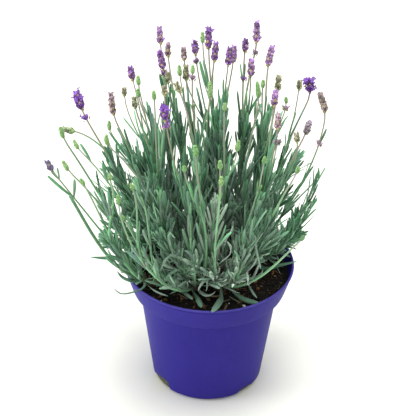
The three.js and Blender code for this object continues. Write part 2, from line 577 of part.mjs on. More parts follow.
const branchSolid = ({ name, made }) => {
  let s = null;
  for (const { curve, stalk, kind, length } of made) {
    const stem = solidOf(prism(stalk, STEM_STEPS, STEM_SIDE * 0.7071, 4));
    s = s ? s.add(stem) : stem;
    if (kind) s = s.add(solidOf(head(kind, length, curve)));
  }
  for (const { path, halfWidth } of leaves.get(name)) {
    const first = path[0];
    const last = path[path.length - 1];
    const chord = last.clone().sub(first).normalize();
    const outward = path[1].clone().sub(first);
    outward.addScaledVector(chord, -outward.dot(chord));
    const up =
      outward.length() > 0.5
        ? outward.normalize()
        : new THREE.Vector3(0, 0, 1);
    s = s.add(solidOf(leaf(path, halfWidth, up)));
  }
  return s;
};

// ---- the scene graph ----
const material = (color, roughness) =>
  new THREE.MeshStandardMaterial({ color, roughness, metalness: 0 });
const group = new THREE.Group();
const add = (name, solid, color, roughness) => {
  const mesh = new THREE.Mesh(geometryOf(solid), material(color, roughness));
  mesh.name = name;
  group.add(mesh);
};
add("pot", pot(), COLOURS.pot, 0.5);
add("soil", soil(), COLOURS.soil, 0.95);
add("woody_base", woodyBase(), COLOURS.wood, 0.85);
for (const stem of stems)
  add(
    stem.name,
    branchSolid(stem),
    stem.made[0].kind ? COLOURS[stem.made[0].kind] : COLOURS.leaf,
    0.7,
  );

export default group;
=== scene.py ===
# Potted lavender: the detailed look of the plant, its soil and its pot.
# Every length in the tables is in millimetres; the meshes are in metres, in the frame's own place.
import math
import bpy
import numpy as np
from mathutils import Matrix, Vector


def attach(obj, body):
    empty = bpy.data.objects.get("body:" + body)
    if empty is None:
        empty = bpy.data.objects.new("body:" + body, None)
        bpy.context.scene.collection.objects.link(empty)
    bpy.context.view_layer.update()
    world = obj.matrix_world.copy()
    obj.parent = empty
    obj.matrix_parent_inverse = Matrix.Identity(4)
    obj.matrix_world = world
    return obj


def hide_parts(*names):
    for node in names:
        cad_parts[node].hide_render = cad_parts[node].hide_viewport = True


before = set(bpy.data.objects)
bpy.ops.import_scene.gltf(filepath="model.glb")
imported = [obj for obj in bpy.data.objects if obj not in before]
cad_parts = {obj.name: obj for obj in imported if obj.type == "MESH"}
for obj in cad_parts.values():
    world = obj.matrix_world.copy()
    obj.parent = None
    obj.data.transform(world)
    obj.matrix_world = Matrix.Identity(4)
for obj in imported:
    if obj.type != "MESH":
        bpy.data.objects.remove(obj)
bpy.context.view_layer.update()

MM = 0.001
UP = np.array([0.0, 0.0, 1.0])
# strength of the studio surround, the key light and the fill light
WORLD, KEY, FILL = 0.82, 45.0, 27.0

# ---- the same branch table as the solid model ----
# name, then stems: four Bezier points, head kind, head length; the first stem carries the others
BRANCHES = [
    ["flower_branch_01", [-64.1, -30.8, 133.0, -102.0, -5.6, 160.1, -125.3, -22.1, 211.5, -155.3, -19.9, 258.8, "L", 11.4]],
    ["flower_branch_02", [-48.5, 17.3, 132.8, -94.3, -10.7, 162.2, -112.0, -4.2, 228.7, -144.2, 1.9, 284.6, "G", 12.7]],
    ["flower_branch_03", [-48.5, 23.8, 131.1, -85.1, 55.1, 139.9, -101.9, 71.9, 191.7, -140.9, 84.0, 223.7, "G", 11.6]],
    ["flower_branch_04", [-62.5, -33.4, 135.3, -87.1, -31.3, 183.2, -100.7, -42.4, 231.1, -137.8, -43.9, 274.5, "G", 12.5]],
    ["flower_branch_05", [-46.0, 18.5, 135.4, -69.5, 1.1, 199.5, -101.0, -9.3, 255.2, -126.9, -3.8, 324.9, "V", 19.1]],
    ["flower_branch_06", [-62.6, -36.9, 134.1, -86.7, -65.5, 168.8, -97.5, -61.1, 220.6, -119.7, -66.9, 269.5, "G", 8.7], [-91.9, -60.5, 196.5, -102.2, -64.3, 224.8, -76.3, -88.0, 259.2, -91.0, -94.2, 292.1, "G", 9.1]],
    ["flower_branch_07", [-45.6, 24.7, 133.3, -60.4, 68.7, 165.0, -85.4, 82.5, 217.0, -102.4, 92.0, 273.2, "F", 23.2], [-73.2, 71.3, 194.1, -79.9, 78.0, 209.8, -100.8, 91.6, 218.9, -105.0, 96.0, 240.0, "G", 11]],
    ["flower_branch_08", [-17.2, -37.9, 134.7, -58.6, -31.0, 187.1, -47.1, -59.5, 262.0, -94.9, -64.1, 314.6, "G", 12.6]],
    ["flower_branch_09", [-19.5, 39.7, 131.7, -78.5, 57.6, 149.7, -59.1, 87.3, 237.1, -83.4, 98.0, 299.8, "P", 14.2]],
    ["flower_branch_10", [-16.0, -43.6, 131.9, -41.3, -94.6, 151.0, -84.1, -96.5, 219.2, -82.0, -112.0, 280.9, "G", 12], [-59.3, -91.1, 190.4, -73.3, -100.2, 218.4, -59.2, -107.1, 259.2, -70.6, -116.0, 295.5, "G", 8.9]],
    ["flower_branch_11", [-18.4, -40.7, 132.5, -57.8, -58.5, 152.4, -60.8, -81.1, 201.8, -81.1, -92.0, 246.6, "G", 8.5]],
    ["flower_branch_12", [-44.4, 21.9, 135.6, -47.5, 39.3, 186.7, -61.3, 56.1, 231.6, -77.4, 60.0, 286.4, "F", 12.1], [-56.0, 46.0, 209.6, -62.1, 53.1, 234.8, -91.0, 79.5, 252.2, -88.2, 84.0, 284.0, "O", 8.8]],
    ["flower_branch_13", [-13.7, -4.6, 134.5, -59.9, 12.3, 190.1, -52.6, -13.0, 269.0, -69.4, -8.0, 345.6, "G", 10.3], [-52.6, -1.8, 232.2, -57.8, -4.9, 263.1, -55.8, -15.8, 300.0, -69.2, -14.0, 335.4, "G", 9.7]],
    ["flower_branch_14", [-17.0, 40.8, 134.3, -54.5, 76.3, 187.9, -38.8, 101.5, 260.5, -54.7, 116.0, 336.3, "L", 17.9], [-44.0, 86.3, 227.0, -46.4, 97.6, 257.9, -41.5, 61.4, 296.5, -52.6, 64.0, 334.4, "P", 20.2]],
    ["flower_branch_15", [-13.5, -8.4, 134.1, -56.6, -37.6, 184.5, -49.0, -30.7, 265.6, -54.1, -30.0, 342.1, "G", 10.1], [-48.1, -30.4, 228.3, -51.9, -32.1, 261.6, -40.1, -17.8, 299.2, -45.5, -16.0, 339.1, "O", 10.1]],
    ["flower_branch_16", [-14.9, 38.2, 135.9, -24.9, 40.2, 204.7, -36.3, 78.5, 259.5, -45.5, 88.0, 332.0, "F", 14.2], [-30.5, 60.3, 232.6, -34.5, 68.7, 256.6, -40.9, 53.5, 286.4, -44.0, 55.0, 317.1, "O", 12]],
    ["flower_branch_17", [-13.6, -38.2, 135.9, -15.3, -34.5, 211.0, -36.0, -65.5, 273.4, -44.0, -73.1, 352.2, "V", 18.3]],
    ["flower_branch_18", [-10.8, -6.5, 135.9, -19.8, -12.9, 205.8, -4.8, -18.3, 273.9, -34.8, -14.0, 342.4, "O", 11.7]],
    ["flower_branch_19", [-13.3, 41.5, 134.8, -6.0, 80.2, 188.7, -26.3, 91.5, 250.7, -30.4, 104.0, 320.2, "F", 13.5], [-17.6, 82.6, 221.7, -22.6, 92.5, 255.0, -30.2, 43.3, 289.0, -33.2, 44.0, 331.0, "G", 13]],
    ["flower_branch_20", [-10.4, 42.1, 132.5, 30.7, 89.4, 161.1, -15.8, 102.8, 249.0, -19.6, 118.0, 320.3, "P", 14.5], [1.9, 92.1, 210.3, -4.7, 102.6, 242.8, -24.4, 62.7, 278.0, -26.9, 66.0, 319.6, "O", 16.9]],
    ["flower_branch_21", [-9.1, -3.2, 135.2, 2.1, 31.3, 199.7, -23.0, -5.7, 274.7, -19.3, 2.0, 352.6, "G", 9.4], [-11.4, 9.4, 238.9, -15.3, 5.8, 271.8, -3.6, -20.1, 306.3, -3.6, -18.0, 346.3, "G", 18]],
    ["flower_branch_22", [-11.8, -41.3, 134.9, 8.5, -74.2, 192.4, -13.0, -92.0, 256.3, -14.7, -104.3, 328.5, "G", 13.7], [-5.0, -80.5, 226.2, -7.5, -88.6, 251.9, -22.9, -101.7, 278.2, -24.3, -107.8, 310.1, "G", 8.4]],
    ["flower_branch_23", [-11.2, 38.4, 135.2, 24.3, 43.4, 200.1, -7.2, 84.9, 267.7, -5.6, 96.0, 345.3, "P", 20.8], [4.3, 64.9, 235.5, 1.3, 76.4, 267.7, -11.4, 81.1, 305.8, -11.7, 86.0, 346.7, "G", 12.3]],
    ["flower_branch_24", [20.8, 45.2, 134.8, -17.5, 60.2, 192.4, -3.6, 67.1, 265.6, 1.7, 74.0, 340.0, "P", 19.1]],
    ["flower_branch_25", [11.7, -43.1, 134.3, -2.3, -86.0, 180.5, 10.4, -92.0, 246.8, 7.0, -104.2, 313.9, "G", 11.5], [5.4, -85.1, 216.2, 6.2, -92.1, 241.8, 8.1, -103.3, 269.9, 8.7, -109.9, 301.0, "G", 12.3]],
    ["flower_branch_26", [-7.2, -7.6, 135.0, 25.3, -26.3, 194.4, 8.0, -41.5, 263.6, 10.7, -42.0, 337.9, "G", 9.2], [12.9, -31.6, 230.8, 13.0, -37.7, 264.5, 20.9, -85.9, 286.6, 22.9, -91.6, 327.2, "G", 13.7]],
    ["flower_branch_27", [21.5, 48.5, 133.0, -7.0, 98.8, 166.7, 13.7, 98.3, 249.9, 20.1, 112.0, 319.1, "L", 17.2], [7.7, 94.0, 212.7, 10.5, 103.1, 251.7, 11.3, 57.3, 293.9, 15.2, 60.0, 341.8, "P", 18.9]],
    ["flower_branch_28", [25.2, 48.6, 133.5, 38.9, 102.3, 174.4, 26.0, 105.0, 251.7, 31.8, 120.0, 322.8, "P", 13.4], [31.8, 93.3, 199.2, 35.7, 108.5, 241.7, 36.2, 46.1, 283.1, 35.8, 48.0, 336.6, "L", 19.3]],
    ["flower_branch_29", [38.7, 9.2, 135.8, 23.6, 0.7, 201.6, 36.3, -4.0, 264.4, 40.3, 4.0, 336.0, "G", 17.2]],
    ["flower_branch_30", [24.4, 45.6, 135.7, 29.9, 66.6, 208.5, 28.2, 82.1, 274.9, 41.2, 92.0, 353.7, "L", 20.3]],
    ["flower_branch_31", [14.2, -40.6, 135.7, 26.6, -56.0, 195.3, 42.0, -80.5, 245.0, 46.8, -90.1, 310.7, "G", 9.2]],
    ["flower_branch_32", [26.6, 42.6, 135.2, 57.0, 26.3, 195.6, 48.0, 75.7, 260.6, 56.9, 84.0, 333.2, "L", 20.7], [49.8, 54.1, 229.6, 51.8, 62.5, 254.0, 45.8, 47.1, 284.6, 48.1, 48.0, 315.5, "G", 9.9]],
    ["flower_branch_33", [39.9, 6.0, 134.4, 38.2, -38.0, 181.8, 55.5, -31.8, 251.9, 59.5, -30.0, 320.2, "F", 15.5], [47.6, -29.2, 219.4, 52.4, -33.1, 252.9, 54.3, -2.4, 287.6, 58.3, 2.0, 328.1, "L", 16.6], [47.6, -29.2, 219.4, 50.9, -31.8, 242.1, 56.3, -34.5, 267.7, 59.6, -34.0, 295.2, "W", 6.4]],
    ["flower_branch_34", [39.8, 12.8, 135.2, 37.9, 43.8, 192.9, 60.7, 36.4, 255.9, 62.2, 36.0, 325.3, "F", 16.3], [49.7, 36.2, 225.9, 53.6, 37.5, 247.4, 72.7, 74.8, 255.5, 71.9, 78.0, 281.7, "G", 7.7]],
    ["flower_branch_35", [17.1, -38.6, 134.3, 55.9, -33.0, 175.8, 52.9, -62.8, 233.5, 78.9, -67.7, 287.9, "G", 8.8]],
    ["flower_branch_36", [18.2, -41.4, 132.0, 51.4, -55.2, 144.8, 63.9, -65.5, 183.0, 88.2, -70.1, 214.8, "G", 8]],
    ["flower_branch_37", [42.4, 8.6, 135.3, 65.0, -4.7, 185.7, 64.9, -2.8, 241.5, 91.9, 4.0, 294.9, "L", 13.6], [65.5, -1.2, 214.0, 71.2, -1.5, 239.0, 85.0, -23.6, 266.3, 77.6, -22.0, 296.2, "O", 9.9]],
    ["flower_branch_38", [41.6, 15.0, 132.8, 59.4, 69.6, 162.9, 78.0, 67.7, 239.9, 93.6, 74.0, 306.5, "V", 18.5], [68.4, 62.6, 206.0, 76.7, 69.3, 235.4, 82.3, 57.8, 271.6, 84.0, 60.0, 309.1, "O", 10.8]],
    ["flower_branch_39", [43.4, 12.1, 134.4, 80.0, 34.8, 181.2, 96.4, 18.2, 245.1, 101.7, 30.0, 311.2, "O", 20.6]],
    ["leafy_shoot_left_low", [-65.0, -34.4, 132.7, -99.4, -39.6, 150.3, -115.7, -27.1, 186.8, -134.3, -25.0, 223.6, "", 0]],
    ["leafy_shoot_left_back", [-49.9, 20.3, 131.1, -71.6, 13.4, 145.5, -91.1, 7.7, 137.1, -113.2, 25.0, 145.1, "", 0]],
    ["leafy_shoot_left_mid", [-47.8, 21.8, 134.2, -72.6, 33.1, 161.2, -94.1, 35.8, 191.8, -103.7, 55.0, 226.3, "", 0]],
    ["leafy_shoot_right_high", [45.2, 9.2, 132.8, 81.6, 3.3, 152.6, 89.7, 3.5, 199.6, 110.3, 15.0, 237.1, "", 0]],
    ["leafy_shoot_right_mid", [43.3, 5.9, 132.8, 64.6, -20.6, 150.9, 80.9, -28.3, 190.0, 101.1, -25.0, 225.3, "", 0]],
    ["leafy_shoot_right_low", [45.3, 12.5, 131.1, 61.7, 20.3, 134.4, 79.0, 10.6, 146.9, 91.4, 20.0, 158.8, "", 0]],
    ["leafy_shoot_top_left", [-18.1, 37.2, 134.2, -49.9, 31.2, 166.9, -50.5, 62.2, 211.2, -62.3, 70.0, 257.8, "", 0]],
    ["leafy_shoot_top_mid", [22.9, 42.2, 135.6, 13.6, 27.6, 180.8, 3.6, 54.8, 225.6, 9.1, 60.0, 276.3, "", 0]],
    ["leafy_shoot_top_right", [27.8, 46.0, 134.1, 56.3, 60.8, 164.6, 40.0, 66.8, 214.5, 55.4, 75.0, 258.0, "", 0]],
    ["leafy_shoot_silver_front", [10.5, -39.7, 135.4, -5.1, -43.1, 169.2, 5.3, -56.6, 203.6, 2.9, -62.0, 242.7, "", 0]],
    ["leafy_shoot_front_left", [-15.5, -41.3, 134.8, -31.2, -62.7, 172.2, -49.6, -68.7, 213.2, -46.3, -80.0, 260.3, "", 0]],
    ["leafy_shoot_front_right", [15.4, -43.5, 133.4, 33.3, -75.6, 159.4, 35.5, -73.8, 210.4, 42.7, -85.0, 256.1, "", 0]],
    ["leafy_shoot_back_left", [-17.4, 42.8, 131.1, -40.1, 74.6, 138.2, -68.0, 96.4, 156.0, -88.0, 118.0, 186.0, "", 0]],
    ["leafy_shoot_back_mid", [-13.8, 43.7, 131.8, -12.7, 76.9, 142.2, -6.6, 103.1, 163.2, -4.0, 126.0, 192.0, "", 0]],
    ["leafy_shoot_back_right", [28.0, 48.2, 131.1, 51.5, 73.1, 137.3, 64.5, 96.1, 160.8, 86.0, 112.0, 186.0, "", 0]],
    ["leafy_shoot_centre", [-10.1, -10.0, 134.4, -11.1, -43.5, 172.0, -7.8, -43.6, 225.5, -14.5, -45.0, 278.4, "", 0]],
]
# narrow leaves that droop over the rim at the foot: branch, points, half width
FOOT_LEAVES = [
    ["leafy_shoot_left_low", [[-76, -33, 139], [-90.8, -21.4, 150], [-103.6, -21, 150], [-117.2, -22.7, 152]], 1.5],
    ["leafy_shoot_left_low", [[-69.5, -38, 135.4], [-76, -42, 138.2], [-84.5, -37.5, 139.2], [-90.2, -31.8, 142]], 1.4],
    ["flower_branch_06", [[-62.5, -46, 135.8], [-68, -58, 138.6], [-83.2, -64.2, 138.4], [-91.4, -59.3, 141]], 1.4],
    ["flower_branch_10", [[-14, -50, 130.5], [-10.2, -62.4, 132.5], [-6.4, -81, 136.8]], 2.2],
    ["flower_branch_25", [[12.5, -52, 130.5], [10.1, -69, 134.5], [3.5, -90, 138.2]], 2.9],
    ["flower_branch_36", [[26, -47, 129], [37, -58, 129.5], [49.8, -62, 129]], 2.2],
    ["leafy_shoot_right_mid", [[55.1, -10, 134], [70, -9, 138], [86.8, -7.8, 142]], 1.7],
]
# single leaves that show in front: branch, points, half width, tone (green, silver or dark)
FRONT_LEAVES = [
    ["flower_branch_10", [[-14.0, -40.8, 131.0], [-21.2, -44.9, 134.0], [-29.8, -51.9, 135.0], [-37.8, -57.0, 134.0]], 1.7, "g"],
    ["flower_branch_10", [[-11.6, -38.0, 130.3], [-8.0, -47.0, 130.8], [-2.1, -54.0, 131.9], [3.5, -57.0, 135.2], [6.2, -57.5, 139.0]], 2.7, "s"],
    ["flower_branch_06", [[-60.7, -36.7, 131.0], [-55.2, -49.0, 134.0], [-48.0, -58.2, 136.0], [-39.1, -63.4, 136.5]], 2.2, "s"],
    ["flower_branch_11", [[-30.0, -43.2, 130.5], [-23.0, -51.8, 131.5], [-15.0, -63.4, 133.0]], 2.0, "d"],
    ["leafy_shoot_front_left", [[-15.6, -55.0, 152.4], [-20.3, -60.0, 171.5], [-28.8, -66.0, 184.1], [-37.2, -71.0, 189.3], [-42.2, -75.0, 185.3], [-47.5, -78.0, 171.8]], 1.9, "g"],
    ["flower_branch_10", [[-13.9, -60.0, 161.8], [-15.0, -63.0, 176.7], [-18.1, -67.0, 188.5], [-23.5, -72.0, 195.7]], 2.3, "s"],
    ["flower_branch_36", [[37.9, -35.7, 133.0], [41.6, -46.7, 133.8], [46.9, -57.3, 132.0]], 1.9, "s"],
    ["flower_branch_36", [[37.6, -60.0, 149.2], [37.6, -61.0, 156.9], [35.8, -63.0, 165.9]], 2.3, "s"],
    ["leafy_shoot_right_mid", [[65.0, -3.9, 138.0], [68.5, -10.3, 134.0], [71.1, -14.0, 130.0]], 0.8, "s"],
    ["flower_branch_31", [[23.2, -56.0, 163.5], [27.1, -60.0, 178.0], [30.8, -66.0, 201.6]], 2.3, "g"],
    ["flower_branch_31", [[41.1, -60.0, 210.8], [43.0, -62.0, 197.0], [45.9, -62.0, 182.2], [49.1, -60.0, 168.2]], 1.1, "s"],
    ["leafy_shoot_silver_front", [[5.0, -55.0, 165.9], [11.9, -62.0, 177.8], [19.2, -68.0, 190.2], [19.4, -70.0, 199.5], [15.7, -72.0, 206.9]], 1.9, "s"],
    ["leafy_shoot_front_left", [[-31.6, -66.0, 178.3], [-36.7, -72.0, 200.4], [-39.0, -76.0, 219.8], [-35.8, -79.0, 218.4], [-32.1, -82.0, 216.1]], 1.2, "g"],
    ["leafy_shoot_silver_front", [[4.4, -36.2, 142.0], [12.7, -39.5, 141.0], [23.3, -44.5, 136.5]], 2.4, "d"],
    ["leafy_shoot_silver_front", [[2.0, -55.0, 171.6], [7.7, -63.0, 194.4], [17.6, -70.0, 212.9], [20.9, -75.0, 226.3]], 1.8, "s"],
    ["leafy_shoot_front_left", [[-26.0, -62.0, 168.7], [-31.5, -70.0, 171.8], [-38.9, -74.0, 168.7], [-43.6, -74.0, 159.3]], 2.0, "g"],
]
# bright leafy side stems that show in front: branch, points
FRONT_STEMS = [
    ["flower_branch_10", [[-13.7, -38.4, 130.5], [-14.1, -59.0, 159.1], [-16.7, -63.0, 180.2], [-17.8, -66.0, 198.0], [-18.6, -68.0, 218.4], [-19.3, -70.0, 237.8]]],
    ["flower_branch_06", [[-61.4, -31.1, 130.0], [-55.3, -36.2, 132.0], [-52.4, -36.6, 139.0], [-53.5, -52.0, 161.0], [-55.4, -60.0, 185.0], [-57.1, -68.0, 214.1], [-59.3, -75.0, 239.9], [-63.9, -81.0, 260.5]]],
]
NUBS = [(-10, -6), (-59.8, -33.6), (13, -39.2), (-14, 38), (40, 10), (-44, 20), (24, 44), (-13.5, -38.5)]
POT_HEIGHT = 134.6
RIM_RADIUS = 85.0
BAND_HEIGHT = 26.4
BAND_FOOT_RADIUS = 77.1
BODY_TOP_RADIUS = 70.1
BODY_FOOT_RADIUS = 55.7
FOOT_FILLET = 5.8
WALL = 1.7
FLOOR_THICKNESS = 2.4
SOIL_TOP = 124.0
DRAIN_HOLES = 6
# drainage slots: inner radius of the cut, then its upper edge as azimuth from the front and height
FOOT_SLOTS = [
    (50.6, [(-76, 0.5), (-72, 4.6), (-68, 7.2), (-60, 10.8), (-52, 12.5), (-44.8, 12.6), (-43.3, 11.6), (-42.3, 7.0), (-41.0, 0.4)]),
    (50.6, [(33.6, 0.4), (35.4, 4.4), (37.4, 6.9), (44, 7.4), (50.4, 7.4), (51.6, 6.7), (52.3, 4.6), (62, 3.6), (70, 1.4), (73, 0.2)]),
    (50.6, [(100, 0.4), (101.5, 5.0), (103, 7.0), (120, 7.4), (134, 7.0), (136, 5.0), (137.5, 0.4)]),
    (50.6, [(-143, 0.4), (-141.5, 5.0), (-140, 7.0), (-128, 7.2), (-126, 5.0), (-124.5, 0.4)]),
    (49.2, [(2, 0.2), (4.5, 2.3), (14, 2.5), (16.5, 0.2)]),
]


# ---- colour ----
def lin(code):
    """An sRGB hex colour as linear values."""
    c = np.array([int(code[i:i + 2], 16) / 255 for i in (0, 2, 4)])
    return np.where(c <= 0.04045, c / 12.92, ((c + 0.055) / 1.055) ** 2.4)


def mix(a, b, t):
    return np.asarray(a) * (1 - t) + np.asarray(b) * t


def unit(v):
    v = np.asarray(v, float)
    n = np.linalg.norm(v)
    return v / n if n > 1e-9 else UP.copy()


def cross(a, b):
    return np.array([a[1] * b[2] - a[2] * b[1], a[2] * b[0] - a[0] * b[2], a[0] * b[1] - a[1] * b[0]])


def turn(v, axis, angle):
    """v turned about a unit axis."""
    c, s = math.cos(angle), math.sin(angle)
    return v * c + cross(axis, v) * s + axis * (np.dot(axis, v) * (1 - c))


# how much of a tint is kept under the studio light
DIM = 0.84


# ---- mesh builder: quads and triangles with a tint and a grain coordinate at each vertex ----
class Build:
    def __init__(self):
        self.v, self.f, self.m, self.tint, self.grain, self.n = [], [], [], [], [], 0

    def add(self, v, f, tint, grain, mat=0):
        v = np.asarray(v, float)
        self.v.append(v)
        n = self.n
        for q in f:
            self.f.append([i + n for i in q])
            self.m.append(mat)
        self.tint.append(np.broadcast_to(np.asarray(tint, float), (len(v), 3)))
        self.grain.append(np.asarray(grain, float))
        self.n += len(v)

    def mesh(self, name, materials):
        me = bpy.data.meshes.new(name)
        v = np.concatenate(self.v) * MM
        loops = np.fromiter((i for q in self.f for i in q), np.int32)
        sizes = np.fromiter((len(q) for q in self.f), np.int32)
        me.vertices.add(len(v))
        me.vertices.foreach_set("co", v.astype(np.float32).ravel())
        me.loops.add(len(loops))
        me.loops.foreach_set("vertex_index", loops)
        me.polygons.add(len(sizes))
        me.polygons.foreach_set("loop_start", (np.cumsum(sizes) - sizes).astype(np.int32))
        me.polygons.foreach_set("material_index", np.array(self.m, np.int32))
        me.update(calc_edges=True)
        me.validate()
        t = np.concatenate(self.tint) * DIM
        a = me.attributes.new("tint", "FLOAT_COLOR", "POINT")
        a.data.foreach_set("color", np.concatenate([t, np.ones((len(t), 1))], 1).astype(np.float32).ravel())
        g = me.attributes.new("grain", "FLOAT_VECTOR", "POINT")
        g.data.foreach_set("vector", (np.concatenate(self.grain) * MM).astype(np.float32).ravel())
        me.polygons.foreach_set("use_smooth", np.ones(len(sizes), bool))
        for m in materials:
            me.materials.append(m)
        o = bpy.data.objects.new(name, me)
        bpy.context.scene.collection.objects.link(o)
        return o


def frames(p, up):
    """Tangents, and across and over directions carried along a polyline from a first up direction."""
    t = np.gradient(p, axis=0)
    t /= np.linalg.norm(t, axis=1)[:, None] + 1e-12
    over = np.empty_like(p)
    u = np.asarray(up, float) - t[0] * np.dot(up, t[0])
    if np.linalg.norm(u) < 1e-4:
        u = cross(t[0], np.array([1.0, 0.3, 0.1]))
    u = unit(u)
    for i in range(len(p)):
        u = u - t[i] * np.dot(u, t[i])
        u = u / (np.linalg.norm(u) + 1e-12)
        over[i] = u
    across = np.cross(t, over)
    return t, across, over


def ring_faces(rings, n, cap=True):
    f = []
    for i in range(rings - 1):
        a, b = i * n, (i + 1) * n
        for k in range(n):
            l = (k + 1) % n
            f.append([a + k, a + l, b + l, b + k])
    if cap:
        f.append([n - 1 - k for k in range(n)])
        f.append([(rings - 1) * n + k for k in range(n)])
    return f


_faces = {}


def faces_of(rings, n):
    if (rings, n) not in _faces:
        _faces[(rings, n)] = ring_faces(rings, n)
    return _faces[(rings, n)]


SQUARE = np.array([[math.cos(a), math.sin(a)] for a in np.arange(8) * math.pi / 4]) * np.array([[1.14, 1.14], [0.9, 0.9]] * 4).reshape(8, 2)


def tube(b, p, r, tint, section=None, n=6, up=UP, mat=0, seed=0.0, ripple=0.0, rng=None):
    """A closed tube along points p with a radius at each."""
    p = np.asarray(p, float)
    t, across, over = frames(p, up)
    s = np.asarray(section, float) if section is not None else np.array(
        [[math.cos(2 * math.pi * k / n), math.sin(2 * math.pi * k / n)] for k in range(n)])
    n = len(s)
    r = np.broadcast_to(np.asarray(r, float), (len(p),))
    rr = np.repeat(r[:, None], n, 1)
    if ripple:
        rr = rr * (1 + rng.normal(0, ripple, rr.shape))
    # the section runs against the clock seen from the tip, so that faces look outwards
    v = p[:, None] + (across[:, None] * s[None, :, :1] - over[:, None] * s[None, :, 1:]) * rr[:, :, None]
    length = np.concatenate([[0], np.cumsum(np.linalg.norm(np.diff(p, axis=0), axis=1))])
    ang = np.arange(n) / n * 2 * math.pi
    g = np.zeros((len(p), n, 3))
    g[:, :, 0] = length[:, None]
    g[:, :, 1] = np.cos(ang)[None] * rr + seed
    g[:, :, 2] = np.sin(ang)[None] * rr + seed * 0.37
    tint = np.asarray(tint, float)
    if tint.ndim == 2:
        tint = np.repeat(tint[:, None], n, 1).reshape(-1, 3)
    b.add(v.reshape(-1, 3), faces_of(len(p), n), tint, g.reshape(-1, 3), mat)


# leaf outlines: share of the length, share of the half width
LINEAR = (np.array([0, 0.07, 0.2, 0.42, 0.64, 0.84, 0.95, 1.0]), np.array([0.42, 0.55, 0.8, 0.98, 1.0, 0.93, 0.7, 0.2]))
SPOON = (np.array([0, 0.1, 0.26, 0.45, 0.62, 0.8, 0.93, 1.0]), np.array([0.3, 0.36, 0.6, 0.92, 1.0, 0.9, 0.56, 0.1]))
SCALE = (np.array([0, 0.3, 0.62, 0.86, 1.0]), np.array([0.62, 1.0, 0.86, 0.42, 0.06]))
LOBE = (np.array([0, 0.35, 0.75, 1.0]), np.array([0.55, 0.9, 1.0, 0.45]))
# cross-section of a leaf with its edges rolled under and a groove along the midrib: across, over
SECTION = np.array([[-1.0, -0.2], [-0.55, 0.16], [0.0, 0.02], [0.55, 0.16], [1.0, -0.2], [0.0, -0.26]])
# painted light across a leaf's section: painted highlights along the rolled edges and the midrib, painted shade on the
# flat sides and under the rib
SHADE = np.array([1.28, 0.85, 1.3, 0.85, 1.28, 0.72])


def blade(b, p, half, up, tint, outline=LINEAR, twist=0.0, mat=0, seed=0.0, under=None, thick=1.0):
    """A closed leaf along a fine polyline p. up points to the leaf's upper face at its foot."""
    s, w = outline
    length = np.concatenate([[0], np.cumsum(np.linalg.norm(np.diff(p, axis=0), axis=1))])
    total = length[-1]
    q = np.stack([np.interp(s * total, length, p[:, i]) for i in range(3)], 1)
    t, across, over = frames(q, up)
    if twist:
        for i in range(len(q)):
            a = twist * s[i]
            c_, s_ = math.cos(a), math.sin(a)
            across[i], over[i] = across[i] * c_ + over[i] * s_, over[i] * c_ - across[i] * s_
    sec = SECTION * [1, thick]
    v = q[:, None] + across[:, None] * sec[None, :, :1] * (half * w)[:, None, None] + over[:, None] * sec[None, :, 1:] * (half * (0.35 + 0.65 * w))[:, None, None]
    g = np.zeros((len(q), 6, 3))
    g[:, :, 0] = (s * total)[:, None]
    g[:, :, 1] = sec[None, :, 0] * (half * w)[:, None]
    g[:, :, 2] = seed
    tint = np.asarray(tint, float)
    if tint.ndim == 1:
        tint = np.repeat(tint[None], len(q), 0)
    c = tint[:, None] * SHADE[None, :, None]
    if under is not None:
        c[:, 5] = mix(c[:, 5], under, 0.7)
    # the ring runs from one edge over the top to the other and back under the rib
    b.add(v.reshape(-1, 3), faces_of(len(q), 6), c.reshape(-1, 3), g.reshape(-1, 3), mat)


def bent(p0, d0, length, toward, angle, sway=0.0, steps=10, power=1.25, droop=0.0):
    """A polyline that leaves p0 along d0 and bends by an angle towards a direction."""
    d0 = unit(d0)
    tw = toward - d0 * np.dot(toward, d0)
    tw = unit(tw)
    side = cross(d0, tw)
    s = (np.arange(steps) + 0.5) / steps
    a = angle * s ** power
    d = d0[None] * np.cos(a)[:, None] + tw[None] * np.sin(a)[:, None] + side[None] * (sway * np.sin(s * math.pi * 1.1))[:, None]
    d[:, 2] -= droop * s ** 2
    d /= np.linalg.norm(d, axis=1)[:, None]
    p = np.concatenate([[p0], p0 + np.cumsum(d * (length / steps), 0)])
    return p


class Axis:
    """A stem's centre line, by length from its foot."""

    def __init__(self, pts):
        self.p = np.asarray(pts, float)
        self.s = np.concatenate([[0], np.cumsum(np.linalg.norm(np.diff(self.p, axis=0), axis=1))])
        self.length = self.s[-1]
        self.t, self.across, self.over = frames(self.p, np.array([0.3, -1.0, 0.2]))

    def at(self, s):
        return np.array([np.interp(s, self.s, self.p[:, i]) for i in range(3)])

    def dir(self, s):
        return unit([np.interp(s, self.s, self.t[:, i]) for i in range(3)])

    def out(self, s, phi):
        """Direction straight out of the stem at turn phi about it."""
        d = self.dir(s)
        a = np.array([np.interp(s, self.s, self.across[:, i]) for i in range(3)])
        a = unit(a - d * np.dot(a, d))
        return a * math.cos(phi) + cross(d, a) * math.sin(phi)

    def cut(self, s0, s1, n):
        return np.array([self.at(s) for s in np.linspace(s0, s1, n)])


def bezier(c, n=60):
    c = np.asarray(c, float).reshape(4, 3)
    t = np.linspace(0, 1, n)[:, None]
    return c[0] * (1 - t) ** 3 + 3 * c[1] * t * (1 - t) ** 2 + 3 * c[2] * t * t * (1 - t) + c[3] * t ** 3


